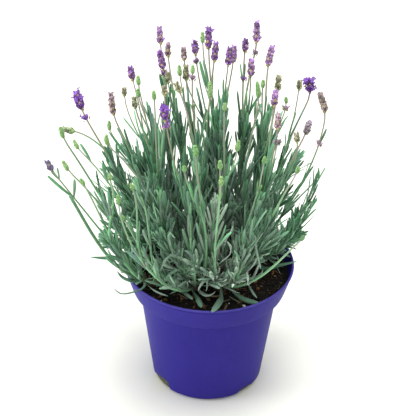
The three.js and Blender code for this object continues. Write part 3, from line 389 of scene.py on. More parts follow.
# ---- plant colours ----
LEAF_GREEN = [lin(c) for c in ("3f805a", "3a7552", "529668", "64a478", "356a4c", "4a8c62", "5cab70", "5d8c7c")]
LEAF_SILVER = [lin(c) for c in ("93b4a0", "aec8b4", "7f9f8c", "c2d6c4", "8ba896", "a4bea8")]
LEAF_DARK = lin("2c5843")
FRESH = lin("7fb86a")
STALK_GREEN = lin("72b480")
STALK_PALE = lin("98d29e")
STALK_OLIVE = lin("a79d88")
STALK_MAUVE = lin("b8a8b4")
BARK = lin("5f5344")
SOIL_CLEAR = SOIL_TOP + 2.2


def clear(p, half=1.6):
    """True if a leaf or twig stays inside the rim, above the soil and outside the pot wall."""
    r = np.hypot(p[:, 0], p[:, 1])
    low = p[:, 2] < POT_HEIGHT + 0.8 + half * 0.5
    if np.any(low & (r + half > 79.0)) or np.any(p[:, 2] < SOIL_CLEAR):
        return False
    if np.any((p[:, 2] < 146) & (p[:, 0] > -48) & (p[:, 1] < -59)):
        return False
    return not np.any((p[:, 2] < 141) & (p[:, 0] > 31) & (p[:, 1] < 18) & (r > 52))


VIEW_UP = np.array([0.0, math.sin(math.radians(32.49)), math.cos(math.radians(32.49))])
VIEW_BACK = np.array([0.0, -math.cos(math.radians(32.49)), math.sin(math.radians(32.49))])


def open_line(points, reach):
    """A stem that is to stay in sight: its place across and up the front view, its nearness, and how far it keeps clear."""
    p = np.asarray(points, float)
    return p[:, 0], p @ VIEW_UP, p @ VIEW_BACK, reach


def hides(p, lines):
    """True if a leaf along p would cross in front of one of the stems that stay in sight."""
    x, u, n = p[:, 0], p @ VIEW_UP, p @ VIEW_BACK
    for lx, lu, ln, reach in lines:
        d = np.hypot(x[:, None] - lx[None], u[:, None] - lu[None])
        if np.any((d < reach) & (n[:, None] > ln[None] - 0.5)):
            return True
    return False


LEAFY_LEFT = ([95, 115, 130, 148, 176, 194, 216, 232, 243, 258, 272, 284], [132, 116, 108, 103, 91, 93, 98, 99, 97, 107, 120, 128])
LEAFY_RIGHT = ([90, 105, 129, 148, 176, 186, 201, 220, 228, 235, 251, 261, 275], [296, 308, 322, 324, 319, 317, 317, 316, 310, 306, 297, 297, 297])


def outside(p):
    """True if a leaf reaches past the outline of the leafy part, as seen from the front."""
    q = p - np.array([-2.5, 0.0, 197.6])
    k = 1431.9 / (1400.0 - q @ VIEW_BACK)
    u, v = q[:, 0] * k, -(q @ VIEW_UP) * k
    x, y = 208 + 0.99975 * u - 0.02234 * v, 208 + 0.02234 * u + 0.99975 * v
    return bool(np.any((x < np.interp(y, *LEAFY_LEFT) - 1) | (x > np.interp(y, *LEAFY_RIGHT) + 1)))


def painted_shade_depth(p):
    """0 deep inside the bush, 1 at its outside; it sets the painted shade that darkens leaves deep in the bush."""
    p = np.asarray(p, float)
    x, y, z = p[..., 0], p[..., 1], p[..., 2]
    reach = np.interp(z, [126, 140, 200, 250, 300], [60, 64, 86, 102, 112])
    return np.clip(np.maximum(np.hypot(x + 8, y) / reach, (z - 128) / 150), 0, 1)


def leaf_tint(rng, silver, z, fresh=0.0):
    c = LEAF_GREEN[rng.integers(len(LEAF_GREEN))]
    if silver > 0:
        c = mix(c, LEAF_SILVER[rng.integers(len(LEAF_SILVER))], min(1.0, silver))
    if silver > 1:
        c = mix(c, lin("d2e0d2"), 0.5) * 1.15
    if fresh > 0:
        c = mix(c, FRESH, fresh)
    # a random brightness, and painted light that makes leaves lighter and greener from 200 mm up to 250 mm
    c = c * rng.uniform(0.6, 1.28) * (1 + np.array([0.1, 0.2, 0.1]) * np.clip((z - 200) / 50, 0, 1))
    return mix(c, lin("93c8a2"), 0.35) if rng.random() < 0.14 else c


CLEAR_VIEW = []
OWNER = [""]


# painted shade and light along a leaf: darker at its foot, inside the bush, and lighter towards its tip
def along_tint(c, n, foot=0.56, tip=1.16):
    return c[None] * np.linspace(foot, tip, n)[:, None]


CURLED = (np.linspace(0, 1, 12), np.array([0.42, 0.62, 0.8, 0.92, 0.99, 1.0, 1.0, 0.96, 0.88, 0.74, 0.5, 0.14]))
SMALL = (np.array([0, 0.14, 0.42, 0.76, 0.94, 1.0]), np.array([0.45, 0.7, 1.0, 0.92, 0.6, 0.18]))


def leaf(b, rng, p0, d0, length, half, up, toward, angle, silver=0.0, sway=0.0, twist=0.0, droop=0.0, power=1.25, outline=None, fresh=0.0, tint=None, free=False):
    """One leaf, placed only where it stays clear of the pot. Returns True if it was placed."""
    if p0[0] < -52 and p0[2] < 172 and p0[1] < -5:
        if rng.random() < 0.4:
            return False
        half *= 0.82
    if p0[2] > 150 and d0[2] < 0.42:
        d0 = unit(d0 + UP * (0.5 - d0[2]))
    if OWNER[0] in NARROW or OWNER[0] in EDGE:
        up = unit(unit(up) * 0.75 + np.array([0.0, -0.7, 0.4]))
        half *= 0.94
    if p0[2] > 168 and not free and silver <= 1:
        fan = unit(np.asarray(p0, float) - np.array([-5.0, 5.0, 30.0]))
        d0 = unit(d0 + fan * (0.5 * float(np.clip((p0[2] - 168) / 40, 0, 1))))
        half *= 1.04
    if p0[2] > 180:
        face = unit(np.asarray(up, float) - d0 * np.dot(up, d0))
        lean = float(np.dot(face, VIEW_BACK))
        if abs(lean) < 0.4:
            up = face + VIEW_BACK * (0.45 if lean >= 0 else -0.45)
            twist *= 0.4
    for k in range(4):
        p = bent(p0, d0, length, toward, angle, sway, 10, power, droop)
        far = not free and outside(p)
        flat = p0[2] > 165 and k < 3 and unit(p[-1] - p[-4])[2] < 0.32
        if flat:
            angle, droop, d0 = angle * 0.3, droop * 0.3, unit(d0 + UP * 0.35)
            continue
        if clear(p[2:], half) and not far and not hides(p[3:], [x[1] for x in CLEAR_VIEW if x[0] != OWNER[0]]):
            break
        if far:
            d0 = unit(d0 + np.array([-0.3 if p0[0] > 0 else 0.3, 0.0, 0.0]))
            length *= 0.82
        d0 = unit(d0 + UP * 0.45)
        angle *= 0.4
        droop *= 0.3
    else:
        return False
    o = outline or (CURLED if abs(angle) > 0.7 or abs(droop) > 0.12 else (LINEAR if length > 17 else SMALL))
    c = leaf_tint(rng, silver, p0[2], fresh) if tint is None else tint
    n = len(o[0])
    under = mix(c, lin("a9bcb0"), 0.35)
    at = np.stack([np.interp(o[0] * 10, np.arange(11), p[:, i]) for i in range(3)], 1)
    # painted shade: leaves deep inside the bush are darkened and tinted greener, since shade falls there
    deep = painted_shade_depth(at)[:, None] ** 1.5
    if silver > 1:
        deep = np.maximum(deep, 0.78)
    blade(b, p, half, up, along_tint(c, n) * (0.24 + 0.87 * deep) * mix(np.array([0.86, 1.0, 0.9]), np.ones(3), deep), o, twist, 0, rng.uniform(0, 40), under)
    return True


def silver_of(p, rng):
    """How silvery a leaf is: the young leaves low down and in the middle are the greyest."""
    low = np.clip((205 - p[2]) / 55, 0, 1)
    mid = np.clip(1.3 - abs(p[0] - 8) / 48, 0, 1)
    s = low * mid * rng.uniform(0.35, 1.1)
    return float(np.clip(s + rng.uniform(-0.1, 0.22), 0.0, 1.0))


def twig(b, rng, p0, d0, length, pairs, leaf_len, silver, toward, angle, curl=0.3):
    """A short leafy side shoot: thin stem, opposite leaves and a tuft at the tip."""
    p = bent(p0, d0, length, toward, angle, 0.1, 8)
    if not clear(p[1:], 1.0):
        return False
    ax = Axis(p)
    c = mix(mix(STALK_GREEN, lin("8aa38e"), silver), LEAF_DARK, rng.uniform(0, 0.25))
    tube(b, p, np.linspace(0.75, 0.42, len(p)), c, n=5, mat=1, seed=rng.uniform(0, 40))
    phi = rng.uniform(0, 6.28)
    for k in range(pairs):
        s = ax.length * (0.22 + 0.74 * (k + 0.5) / pairs)
        f = (k + 0.5) / pairs
        d = ax.dir(s)
        for side in (0, 1):
            o = ax.out(s, phi + k * 1.5 + side * math.pi + rng.normal(0, 0.15))
            a = math.radians(rng.uniform(15, 30) - 11 * f)
            l = leaf_len * rng.uniform(0.72, 1.12) * (0.8 + 0.35 * math.sin(math.pi * f))
            leaf(b, rng, ax.at(s) + o * 0.35, d * math.cos(a) + o * math.sin(a), l, rng.uniform(1.1, 1.6) * (0.8 + l / 90), d * 0.35 - o,
                 UP if rng.random() < 0.6 else o, rng.normal(0.12, curl), silver, rng.normal(0, 0.16), rng.normal(0, 0.5))
    s = ax.length * 0.985
    for k in range(4):
        o = ax.out(s, phi + k * 1.57 + 0.5)
        a = math.radians(rng.uniform(6, 20))
        d = ax.dir(s)
        leaf(b, rng, ax.at(s), d * math.cos(a) + o * math.sin(a), leaf_len * rng.uniform(0.4, 0.7), rng.uniform(0.9, 1.25), d * 0.3 - o,
             o, rng.normal(0.1, 0.2), silver * 0.8, rng.normal(0, 0.12), 0, fresh=0.25 * rng.random())
    return True


# ---- flower heads ----
# calyx foot, calyx mouth, second mouth, bract, corolla, corolla throat
KINDS = {
    "V": ("65398e", "7a3aae", "ac72da", "b6a45e", "8242be", "b890de"),
    "P": ("8c7690", "864ca6", "b484cc", "c2b068", "9a5cc6", "ccaae2"),
    "L": ("987a98", "a26ebc", "caa4da", "c4b468", "aa78ce", "d8c0e4"),
    "F": ("948a76", "a88a9c", "cdb6c4", "c0b26e", "a27fb4", "ccbcc8"),
    "O": ("8e9a68", "a3a680", "b9b294", "aeb872", "9c8498", "c4b8b8"),
    "Y": ("87a070", "a3ab84", "b9b498", "9fb474", "a8a09a", "c4bcb0"),
    "M": ("7f7a82", "7d6c9c", "9585ae", "8f9170", "8a74b0", "b4a2cc"),
    "K": ("8a7d80", "96859a", "ad9fae", "a4a07c", "94809e", "bcaec4"),
    "W": ("96808c", "a880ac", "b89cb8", "a8a86e", "a880c4", "ccb2d8"),
    "N": ("6a8450", "94807e", "ccb6b6", "b8a868", "9c8498", "c4b8b8"),
    "T": ("7fae62", "98a878", "aebc94", "9cc878", "9c8c80", "c4bcb0"),
    "D": ("6d7a68", "84807e", "958c90", "8a936e", "8c7e94", "aaa0b0"),
}
KINDS = {k: [lin(c) for c in v] for k, v in KINDS.items()}
SPREAD = {"T": 3.0, "N": 3.0, "Y": 3.1, "K": 3.7, "D": 3.0, "M": 3.7, "V": 4.5, "P": 4.15, "L": 4.0, "F": 3.45, "O": 2.85, "W": 3.1}
CALYX = (np.array([0, 0.18, 0.5, 0.8, 0.97, 1.0, 0.9]), np.array([0.42, 0.78, 1.0, 0.96, 0.8, 0.62, 0.36]))


def calyx(b, rng, p0, d0, length, r, foot, mouth, seed):
    """A ribbed tube that narrows at both ends, with painted shade darkening its small mouth."""
    s, w = CALYX
    p = p0[None] + unit(d0)[None] * (s * length)[:, None]
    q = p.copy()
    q[-1] = p0 + unit(d0) * length * 0.985
    q[-2] = p0 + unit(d0) * length * 0.992
    t = np.array([mix(foot * 0.82, mouth, min(1, x * 1.25) ** 1.5) * (0.85 + 0.25 * x) for x in s])
    # painted shade inside the mouth
    t[-1] = mouth * 0.35
    n = 6
    ax_, ac, ov = frames(np.array([p0, p0 + unit(d0)]), UP)
    ang = np.arange(n) / n * 2 * math.pi
    ribs = 1 + 0.13 * np.where(np.arange(n) % 2 == 0, 1, -1)
    ring = ac[0][None] * np.cos(ang)[:, None] - ov[0][None] * np.sin(ang)[:, None]
    v = q[:, None] + ring[None] * (r * w[:, None] * ribs[None])[:, :, None]
    g = np.zeros((len(s), n, 3))
    g[:, :, 0] = (s * length)[:, None]
    g[:, :, 1] = np.cos(ang)[None] * r
    g[:, :, 2] = np.sin(ang)[None] * r + seed
    tt = np.repeat(t[:, None], n, 1) * (1 + 0.16 * np.where(np.arange(n) % 2 == 0, 1, -1))[None, :, None]
    b.add(v.reshape(-1, 3), faces_of(len(s), n), tt.reshape(-1, 3), g.reshape(-1, 3), 2)


def corolla(b, rng, p0, d0, size, colour, throat, open_=1.0):
    """A two-lipped flower: a short tube, two broad upper lobes and three smaller lower ones."""
    d0 = unit(d0)
    neck = 1.9 * size
    p = np.array([p0 - d0 * 0.5, p0 + d0 * neck * 0.5, p0 + d0 * neck])
    tube(b, p, [0.42 * size, 0.5 * size, 0.85 * size], np.array([colour * 0.7, colour * 0.9, throat * 0.8]), n=6, mat=3, seed=rng.uniform(0, 40))
    mouth = p[-1]
    side = unit(cross(d0, UP) if abs(d0[2]) < 0.95 else cross(d0, np.array([1.0, 0, 0])))
    top = cross(side, d0)
    spin = rng.normal(0, 0.25)
    for k, (a, l, w) in enumerate(((0.5, 2.7, 1.25), (-0.5, 2.7, 1.25), (1.85, 2.0, 0.95), (math.pi, 2.1, 1.0), (-1.85, 2.0, 0.95))):
        o = top * math.cos(a + spin) + side * math.sin(a + spin)
        lean = rng.uniform(0.75, 1.2) * open_
        d = d0 * math.cos(lean) + o * math.sin(lean)
        pl = bent(mouth + o * 0.55 * size, d, l * size, o, 0.5 * open_, rng.normal(0, 0.15), 5)
        c = mix(colour, throat, rng.uniform(0, 0.35)) * rng.uniform(0.85, 1.12)
        blade(b, pl, w * size, d0 - o * 0.2, np.array([mix(c, throat, 0.45), c, c, c * 0.92]), LOBE, rng.normal(0, 0.3), 3, rng.uniform(0, 40), None, 0.8)


def bud(b, rng, p0, d0, size, colour):
    """A closed flower bud showing from a calyx."""
    d0 = unit(d0)
    s = np.array([0, 0.35, 0.7, 0.93, 1.0])
    w = np.array([0.5, 0.95, 0.9, 0.5, 0.12])
    p = p0[None] + d0[None] * (s * 2.3 * size)[:, None]
    tube(b, p, w * 0.72 * size, np.array([colour * x for x in (0.7, 0.9, 1.05, 1.15, 1.1)]), n=5, mat=3, seed=rng.uniform(0, 40))


def whorl(b, rng, ax, s, phi, kind, reach, count, lean, bracts=True, bloom=0.0, size=1.0, buds=0.3):
    """One false whorl: two opposite bracts and the calyces between them."""
    foot, m1, m2, br, co, th = KINDS[kind]
    c, d = ax.at(s), ax.dir(s)
    if bracts:
        for side in (0, 1):
            o = ax.out(s, phi + side * math.pi)
            a = lean * 0.9
            pl = bent(c + o * (reach * 0.55) - d * 0.9, d * math.cos(a * 1.5) + o * math.sin(a * 1.5), 4.1 * size, d, 0.8, 0, 5)
            cb = mix(br, m1, rng.uniform(0, 0.12)) * rng.uniform(1.0, 1.4) * (1.0 if s > ax.length - 14 else 0.9)
            blade(b, pl, 1.55 * size, d * 0.3 - o, np.array([cb * 0.85, cb, cb * 1.08, mix(cb, m1, 0.15), mix(cb, m1, 0.5)]), SCALE, 0, 2, rng.uniform(0, 40), None, 0.8)
    for k in range(count):
        side = k % 2
        u = ((k // 2) + 0.5) / max(1, (count + 1 - side) // 2)
        # the calyces stand to the sides of the two bracts, a few behind them
        ang = phi + math.pi * 0.5 + side * math.pi + (u - 0.5) * 2.35 + rng.normal(0, 0.1)
        o = ax.out(s, ang)
        a = lean * rng.uniform(0.85, 1.15)
        dd = d * math.cos(a) + o * math.sin(a)
        l = 5.2 * size * rng.uniform(0.92, 1.06)
        mouth = mix(m1, m2, rng.random()) * (0.45, 0.85, 1.0, 1.55)[rng.integers(4)]
        p0 = c + o * max(0.3, reach - 1.15 - l * math.sin(a)) + d * rng.uniform(-0.5, 0.6)
        calyx(b, rng, p0, dd, l, rng.uniform(1.0, 1.35) * size, foot * rng.uniform(0.55, 1.15), mouth, rng.uniform(0, 40))
        end = p0 + unit(dd) * l
        x = rng.random()
        if x < bloom:
            corolla(b, rng, end - unit(dd) * 0.4, unit(dd + d * 0.25), rng.uniform(0.8, 1.05) * size, co, th)
        elif x < bloom + buds:
            bud(b, rng, end - unit(dd) * 0.5, dd, rng.uniform(0.7, 1.0) * size, mix(co, m1, 0.4) * rng.uniform(0.8, 1.1))


def spike(b, rng, ax, s0, s1, kind, bloom=0.0, wide=1.0):
    """A flower head between two lengths along its stem."""
    length = s1 - s0
    core = ax.cut(s0 - 1.0, s1 - 1.2, 6)
    foot, m1, m2, br, co, th = KINDS[kind]
    # painted shade: the core is darkened so that it shows as dark gaps between the calyces
    tube(b, core, np.array([0.9, 1.7, 1.9, 1.8, 1.5, 0.7]) * min(1.0, SPREAD[kind] / 4.2), mix(foot, m1, 0.6) * 0.3 if wide < 1.3 else m1 * 0.75, n=7, mat=2)
    reach = SPREAD[kind] * wide
    if wide > 1.3:
        # a head in full flower: bare below, its flowers standing out all round
        s0 += length * 0.1
        s1 -= 2.2
        length = s1 - s0
    size = min(1.0, 0.62 + length / 40)
    step = 3.05
    n = max(3, int(round((length - 2.6) / step))) if wide < 1.3 else 3
    # every other pair of bracts stands in front
    d, a = ax.dir(s0), ax.out(s0, 0.0)
    front = np.array([0.0, -1.0, 0.3])
    phi = math.atan2(np.dot(cross(d, a), front), np.dot(a, front)) + rng.normal(0, 0.3)
    for k in range(n):
        f = k / max(1, n - 1) if wide < 1.3 else (0.0, 0.62, 0.9)[k]
        s = s0 + 0.6 + (length - 5.2) * f
        env = float(np.interp(f, [0, 0.2, 0.6, 0.85, 1.0], [0.62, 0.95, 1.0, 0.82, 0.5] if kind in "OYFN" else [0.82, 1.0, 1.0, 0.9, 0.72]))
        lean = math.radians(33 - 13 * f if wide < 1.3 else (56, 68, 44)[k])
        whorl(b, rng, ax, s, phi + k * math.pi / 2 + rng.normal(0, 0.12), kind, (reach * env if wide < 1.3 else reach * (0.66, 0.95, 1.0)[k]), 8 if f < 0.8 or wide > 1.3 else 6, lean, True, bloom * (1 if f < 0.95 or wide > 1.3 else 0.5), size * (1.0 if wide < 1.3 else 0.98),
              {"P": 0.55, "V": 0.5, "L": 0.25, "F": 0.12, "O": 0.08}.get(kind, 0.2))
    # the tip: a small tuft of upright calyces
    for k in range(4):
        s = s1 - 4.6 * size
        o = ax.out(s, phi + k * 1.57 + 0.6)
        a = math.radians(rng.uniform(9, 20))
        d = ax.dir(s)
        calyx(b, rng, ax.at(s) + o * 0.4, d * math.cos(a) + o * math.sin(a), 4.4 * size * rng.uniform(0.85, 1.05), 0.8 * size, foot, mix(m1, m2, rng.random()) * rng.uniform(0.9, 1.2), rng.uniform(0, 40))


GREEN_HEAD = [lin(c) for c in ("a2d080", "96c876", "b0da92", "86c070", "a8d288")]


def green_head(b, rng, ax, s0, s1, wide=1.0, cool=0.0):
    """A young head: overlapping green scales in crossed pairs on a spindle."""
    s0, s1 = s0 + 0.6, s1 - 0.9
    length = s1 - s0
    R = (2.0 + 0.045 * length) * wide
    n = 9
    s = np.linspace(0, 1, n)
    env = np.array([0.34, 0.72, 0.93, 1.0, 0.98, 0.88, 0.7, 0.44, 0.12])
    base = mix(GREEN_HEAD[rng.integers(len(GREEN_HEAD))], lin("6ba470"), cool)
    t = np.array([base * x for x in np.linspace(0.62, 1.0, n)])
    tube(b, ax.cut(s0, s1 - 0.8, n), env * R * 0.78, t, n=8, mat=2, seed=rng.uniform(0, 40))
    rows = max(4, int(round(length / 1.75)))
    phi = rng.uniform(0, 3)
    for k in range(rows):
        f = (k + 0.2) / rows
        e = float(np.interp(f, s, env)) * R
        at = ax.at(s0 + f * length)
        d = ax.dir(s0 + f * length)
        m = 5
        for j in range(m):
            o = ax.out(s0 + f * length, phi + k * 0.63 + j * 2 * math.pi / m + rng.normal(0, 0.06))
            e2 = float(np.interp(min(1, f + 0.3), s, env)) * R
            slope = math.atan2(e2 - e * 0.72, 0.3 * length)
            a = slope * 0.8 + 0.16
            l = min(3.6, 0.3 * length) * rng.uniform(0.9, 1.1) * (1 - 0.45 * f)
            p = bent(at + o * e * 0.66, d * math.cos(a) + o * math.sin(a), l, d, 0.25 + 0.35 * f, 0, 5)
            c = mix(base, GREEN_HEAD[rng.integers(len(GREEN_HEAD))], 0.4 * (1 - cool)) * rng.uniform(0.84, 1.14) * (0.82 + 0.28 * f)
            blade(b, p, (1.35 + 0.02 * length) * (1 - 0.25 * f) * wide, d * 0.2 - o, np.array([c * 0.6, c * 0.86, c, c * 1.12, mix(c, lin("cfe0b8"), 0.3)]), SCALE, 0, 2, rng.uniform(0, 40), c * 0.95, 0.9)
    for side in (0, 1):
        o = ax.out(s0, phi + side * math.pi)
        d = ax.dir(s0)
        p = bent(ax.at(s0 - 0.5), d * 0.75 + o * 0.66, 4.2, d, 0.5, 0, 5)
        blade(b, p, 1.5, d * 0.3 - o, base * 0.8, SCALE, 0, 2, rng.uniform(0, 40), None, 0.8)


# ---- branches ----
# how open each head is, and how wide, where it isn't the usual: (branch, stem) -> share of open flowers, width
BLOOM = {
    ("flower_branch_05", 0): (0.15, 1.12), ("flower_branch_17", 0): (0.1, 1.0), ("flower_branch_38", 0): (0.62, 1.32), ("flower_branch_16", 1): (0.0, 0.62), ("flower_branch_16", 0): (0.0, 1.1), ("flower_branch_07", 0): (0.0, 1.22),
    ("flower_branch_01", 0): (0.12, 1.0), ("flower_branch_20", 0): (0.08, 1.02), ("flower_branch_23", 0): (0.1, 1.0),
    ("flower_branch_14", 0): (0.05, 1.0), ("flower_branch_30", 0): (0.12, 1.0), ("flower_branch_32", 0): (0.03, 1.0),
    ("flower_branch_09", 0): (0.06, 1.05),
}
# heads with a colouring of their own
SHADE_OF = {("flower_branch_39", 0): "N", ("flower_branch_16", 1): "Y", ("flower_branch_01", 0): "M", ("flower_branch_12", 0): "Y", ("flower_branch_34", 0): "O", ("flower_branch_37", 1): "Y", ("flower_branch_37", 0): "K"}
# separate whorls under a head: (branch, stem) -> distance below the head, kind, calyces, lean in degrees
LOW_WHORLS = {
    ("flower_branch_20", 0): [(8.5, "P", 6, 38)],
    ("flower_branch_05", 0): [(11.0, "V", 7, 40)],
    ("flower_branch_17", 0): [(9.0, "P", 7, 40)],
    ("flower_branch_21", 0): [(6.0, "W", 5, 42)],
    ("flower_branch_28", 0): [(30.0, "P", 6, 34)],
    ("flower_branch_14", 1): [(7.0, "P", 5, 36)],
    ("flower_branch_39", 0): [(36.0, "W", 5, 36)],
    ("flower_branch_30", 0): [(12.0, "W", 4, 34)],
    ("flower_branch_34", 1): [(6.5, "W", 4, 40)],
}
BRIGHT = {"flower_branch_36": 0.95, "leafy_shoot_front_left": 0.5, "flower_branch_11": 0.5, "flower_branch_22": 0.35, "flower_branch_25": 0.5, "flower_branch_06": 0.3,
          "flower_branch_35": 0.8, "flower_branch_31": 0.5, "flower_branch_08": 0.6, "flower_branch_26": 0.4, "flower_branch_10": 0.4, "flower_branch_33": 0.3, "flower_branch_15": 0.3}


def stalk_tint(rng, s, length, bright, head, tone, green=1.0):
    """Stalk colours along its length: brownish foot, green, then olive and mauve under the head."""
    f = s / length
    out = []
    for x, y in zip(s, f):
        c = mix(BARK, STALK_GREEN, np.clip((x + 4) / 18, 0, 1))
        c = mix(c, STALK_PALE, bright * np.clip(x / 14, 0, 1))
        if head:
            c = mix(c, STALK_OLIVE, np.clip((y - 0.52) / 0.24, 0, 1) * (0.85 - 0.7 * bright) * green)
            c = mix(c, STALK_MAUVE, np.clip((y - 0.76) / 0.2, 0, 1) * tone * green)
        out.append(c)
    return np.array(out) * rng.uniform(0.88, 1.1)


def radius_at(s, length, r0, r1, nodes):
    r = r0 + (r1 - r0) * np.clip(s / length, 0, 1) ** 0.8
    for x in nodes:
        r = r * (1 + 0.34 * np.exp(-((s - x) / 1.3) ** 2))
    return r


# leaf zone of a stem where it isn't the usual: share of the stem that carries leaves, leaf length, axil leaves, side shoots
HABIT = {
    "flower_branch_01": (0.3, 0.8, 0.3, 0.15), "flower_branch_02": (0.6, 1.0, 1.1, 1.2), "flower_branch_03": (0.62, 1.0, 1.1, 1.2),
    "flower_branch_04": (0.56, 1.0, 1.0, 1.1), "flower_branch_05": (0.66, 1.0, 1.1, 1.2), "flower_branch_06": (0.52, 0.9, 0.9, 0.9), "flower_branch_07": (0.66, 1.0, 1.1, 1.2),
    "flower_branch_08": (0.64, 1.0, 1.0, 1.0), "flower_branch_09": (0.56, 0.95, 0.8, 0.9), "flower_branch_10": (0.5, 0.85, 0.5, 0.35),
    "flower_branch_11": (0.46, 0.85, 0.5, 0.4), "flower_branch_31": (0.5, 0.9, 0.5, 0.5), "flower_branch_35": (0.56, 0.9, 0.9, 0.8),
    "flower_branch_36": (0.1, 0.6, 0.2, 0.0), "flower_branch_37": (0.52, 0.95, 1.0, 1.1), "flower_branch_38": (0.52, 0.9, 0.6, 0.6),
    "flower_branch_39": (0.5, 0.85, 1.0, 1.0),
    "leafy_shoot_left_low": (0.42, 0.62, 0.3, 0.1), "leafy_shoot_left_back": (0.95, 0.95, 1.0, 1.0), "leafy_shoot_left_mid": (0.97, 1.05, 1.3, 1.3),
    "leafy_shoot_right_high": (0.86, 0.85, 1.0, 1.0), "leafy_shoot_right_mid": (0.88, 0.9, 1.3, 1.4), "leafy_shoot_right_low": (0.95, 0.9, 1.5, 1.7),
    "leafy_shoot_silver_front": (0.86, 0.78, 1.0, 0.0),
}
# pairs of narrow leaves on a bare stalk: (branch, stem) -> distance below the head, length, left and right angle, how fresh, half width
BRACT_PAIRS = {
    ("flower_branch_28", 0): [(30.5, 18, 12, 6, 0.0, 0.85)],
    ("flower_branch_39", 0): [(34.0, 18, None, 9, 0.1, 1.2)],
    ("flower_branch_01", 0): [(35.5, (34, 22), 15, 38, 0.05, 1.5), (11.0, 13, 6, 28, 0.1, 1.0)],
    ("flower_branch_03", 0): [(17.0, 21, None, 17, 0.05, 1.5)],
    ("flower_branch_22", 0): [(24.0, 20, 10, 8, 0.2, 1.3)],
    ("flower_branch_23", 1): [(48.0, 30, 9, 2, 0.0, 1.5)],
    ("flower_branch_14", 0): [(44.0, 15, 8, 6, 0.5, 1.2)],
    ("flower_branch_29", 0): [(22.0, 18, 10, 8, 0.3, 1.2)],
}
# how far the foot of a head lies to the side of the plain curve, in millimetres: (branch, stem)
HEAD_FOOT = {
    ("flower_branch_01", 0): -1.7, ("flower_branch_02", 0): -4.1, ("flower_branch_03", 0): -5.4, ("flower_branch_04", 0): -4.2, ("flower_branch_05", 0): -2.7,
    ("flower_branch_06", 1): -2.4, ("flower_branch_07", 0): -4.8, ("flower_branch_07", 1): -3.0, ("flower_branch_08", 0): -9.2, ("flower_branch_09", 0): -1.8,
    ("flower_branch_12", 0): -2.4, ("flower_branch_13", 0): -2.2, ("flower_branch_13", 1): -3.0, ("flower_branch_14", 0): -2.4, ("flower_branch_14", 1): -1.1,
    ("flower_branch_16", 0): -1.4, ("flower_branch_16", 1): -1.3, ("flower_branch_20", 1): -1.5, ("flower_branch_21", 1): 1.5, ("flower_branch_27", 0): 1.2,
    ("flower_branch_29", 0): 3.7, ("flower_branch_30", 0): 3.6, ("flower_branch_32", 0): -1.5, ("flower_branch_33", 0): 1.9, ("flower_branch_33", 2): 1.2,
    ("flower_branch_34", 1): 1.5, ("flower_branch_35", 0): 2.4, ("flower_branch_36", 0): 1.4, ("flower_branch_37", 0): 2.6, ("flower_branch_38", 0): 6.9,
    ("flower_branch_39", 0): 8.6,
}
# a thin arching side stalk with a small head: branch, points, head length, kind, width
SIDE_STALKS = [
    ("flower_branch_05", [(-89.8, -2.4, 237.3), (-93.6, 0.2, 246.0), (-99.0, 1.6, 255.3), (-105.9, 2.2, 263.3), (-114.4, 3.0, 270.4), (-123.9, 4.5, 275.2), (-132.5, 6.0, 277.2), (-139.3, 7.5, 277.5), (-144.7, 8.2, 277.2)], 14.0, "T", 0.72),
]
SLIM = {"leafy_shoot_left_low", "leafy_shoot_right_high", "leafy_shoot_right_mid"}
NARROW = {"flower_branch_37", "flower_branch_38", "flower_branch_39", "flower_branch_34", "leafy_shoot_right_high", "leafy_shoot_right_mid"}
EDGE = {"leafy_shoot_left_low", "leafy_shoot_left_back", "leafy_shoot_left_mid", "leafy_shoot_right_high", "leafy_shoot_right_mid", "leafy_shoot_right_low", "leafy_shoot_silver_front"}
THIN = {"flower_branch_01", "flower_branch_02", "flower_branch_03", "flower_branch_04", "flower_branch_06", "flower_branch_10", "flower_branch_11"}


def lean_head(ax, head_len, dx):
    """The same stem with the foot of its head moved sideways; the tip stays where it is."""
    if not dx:
        return ax
    x = ax.length - ax.s
    far = [26, 60, 61, 62] if dx < 8.2 else [36, 70, 110, 150]
    w = np.interp(x, [0, head_len * 0.5, head_len, head_len * 1.35] + [head_len + k for k in far], [0, 0.55, 1.0, 1.08] + ([0.55, 0, 0, 0] if dx < 8.2 else [1.05, 0.8, 0.35, 0]))
    for _ in range(6):
        w[1:-1] = (w[:-2] + 2 * w[1:-1] + w[2:]) / 4
    p = ax.p.copy()
    p[:, 0] += dx * w
    return Axis(p)


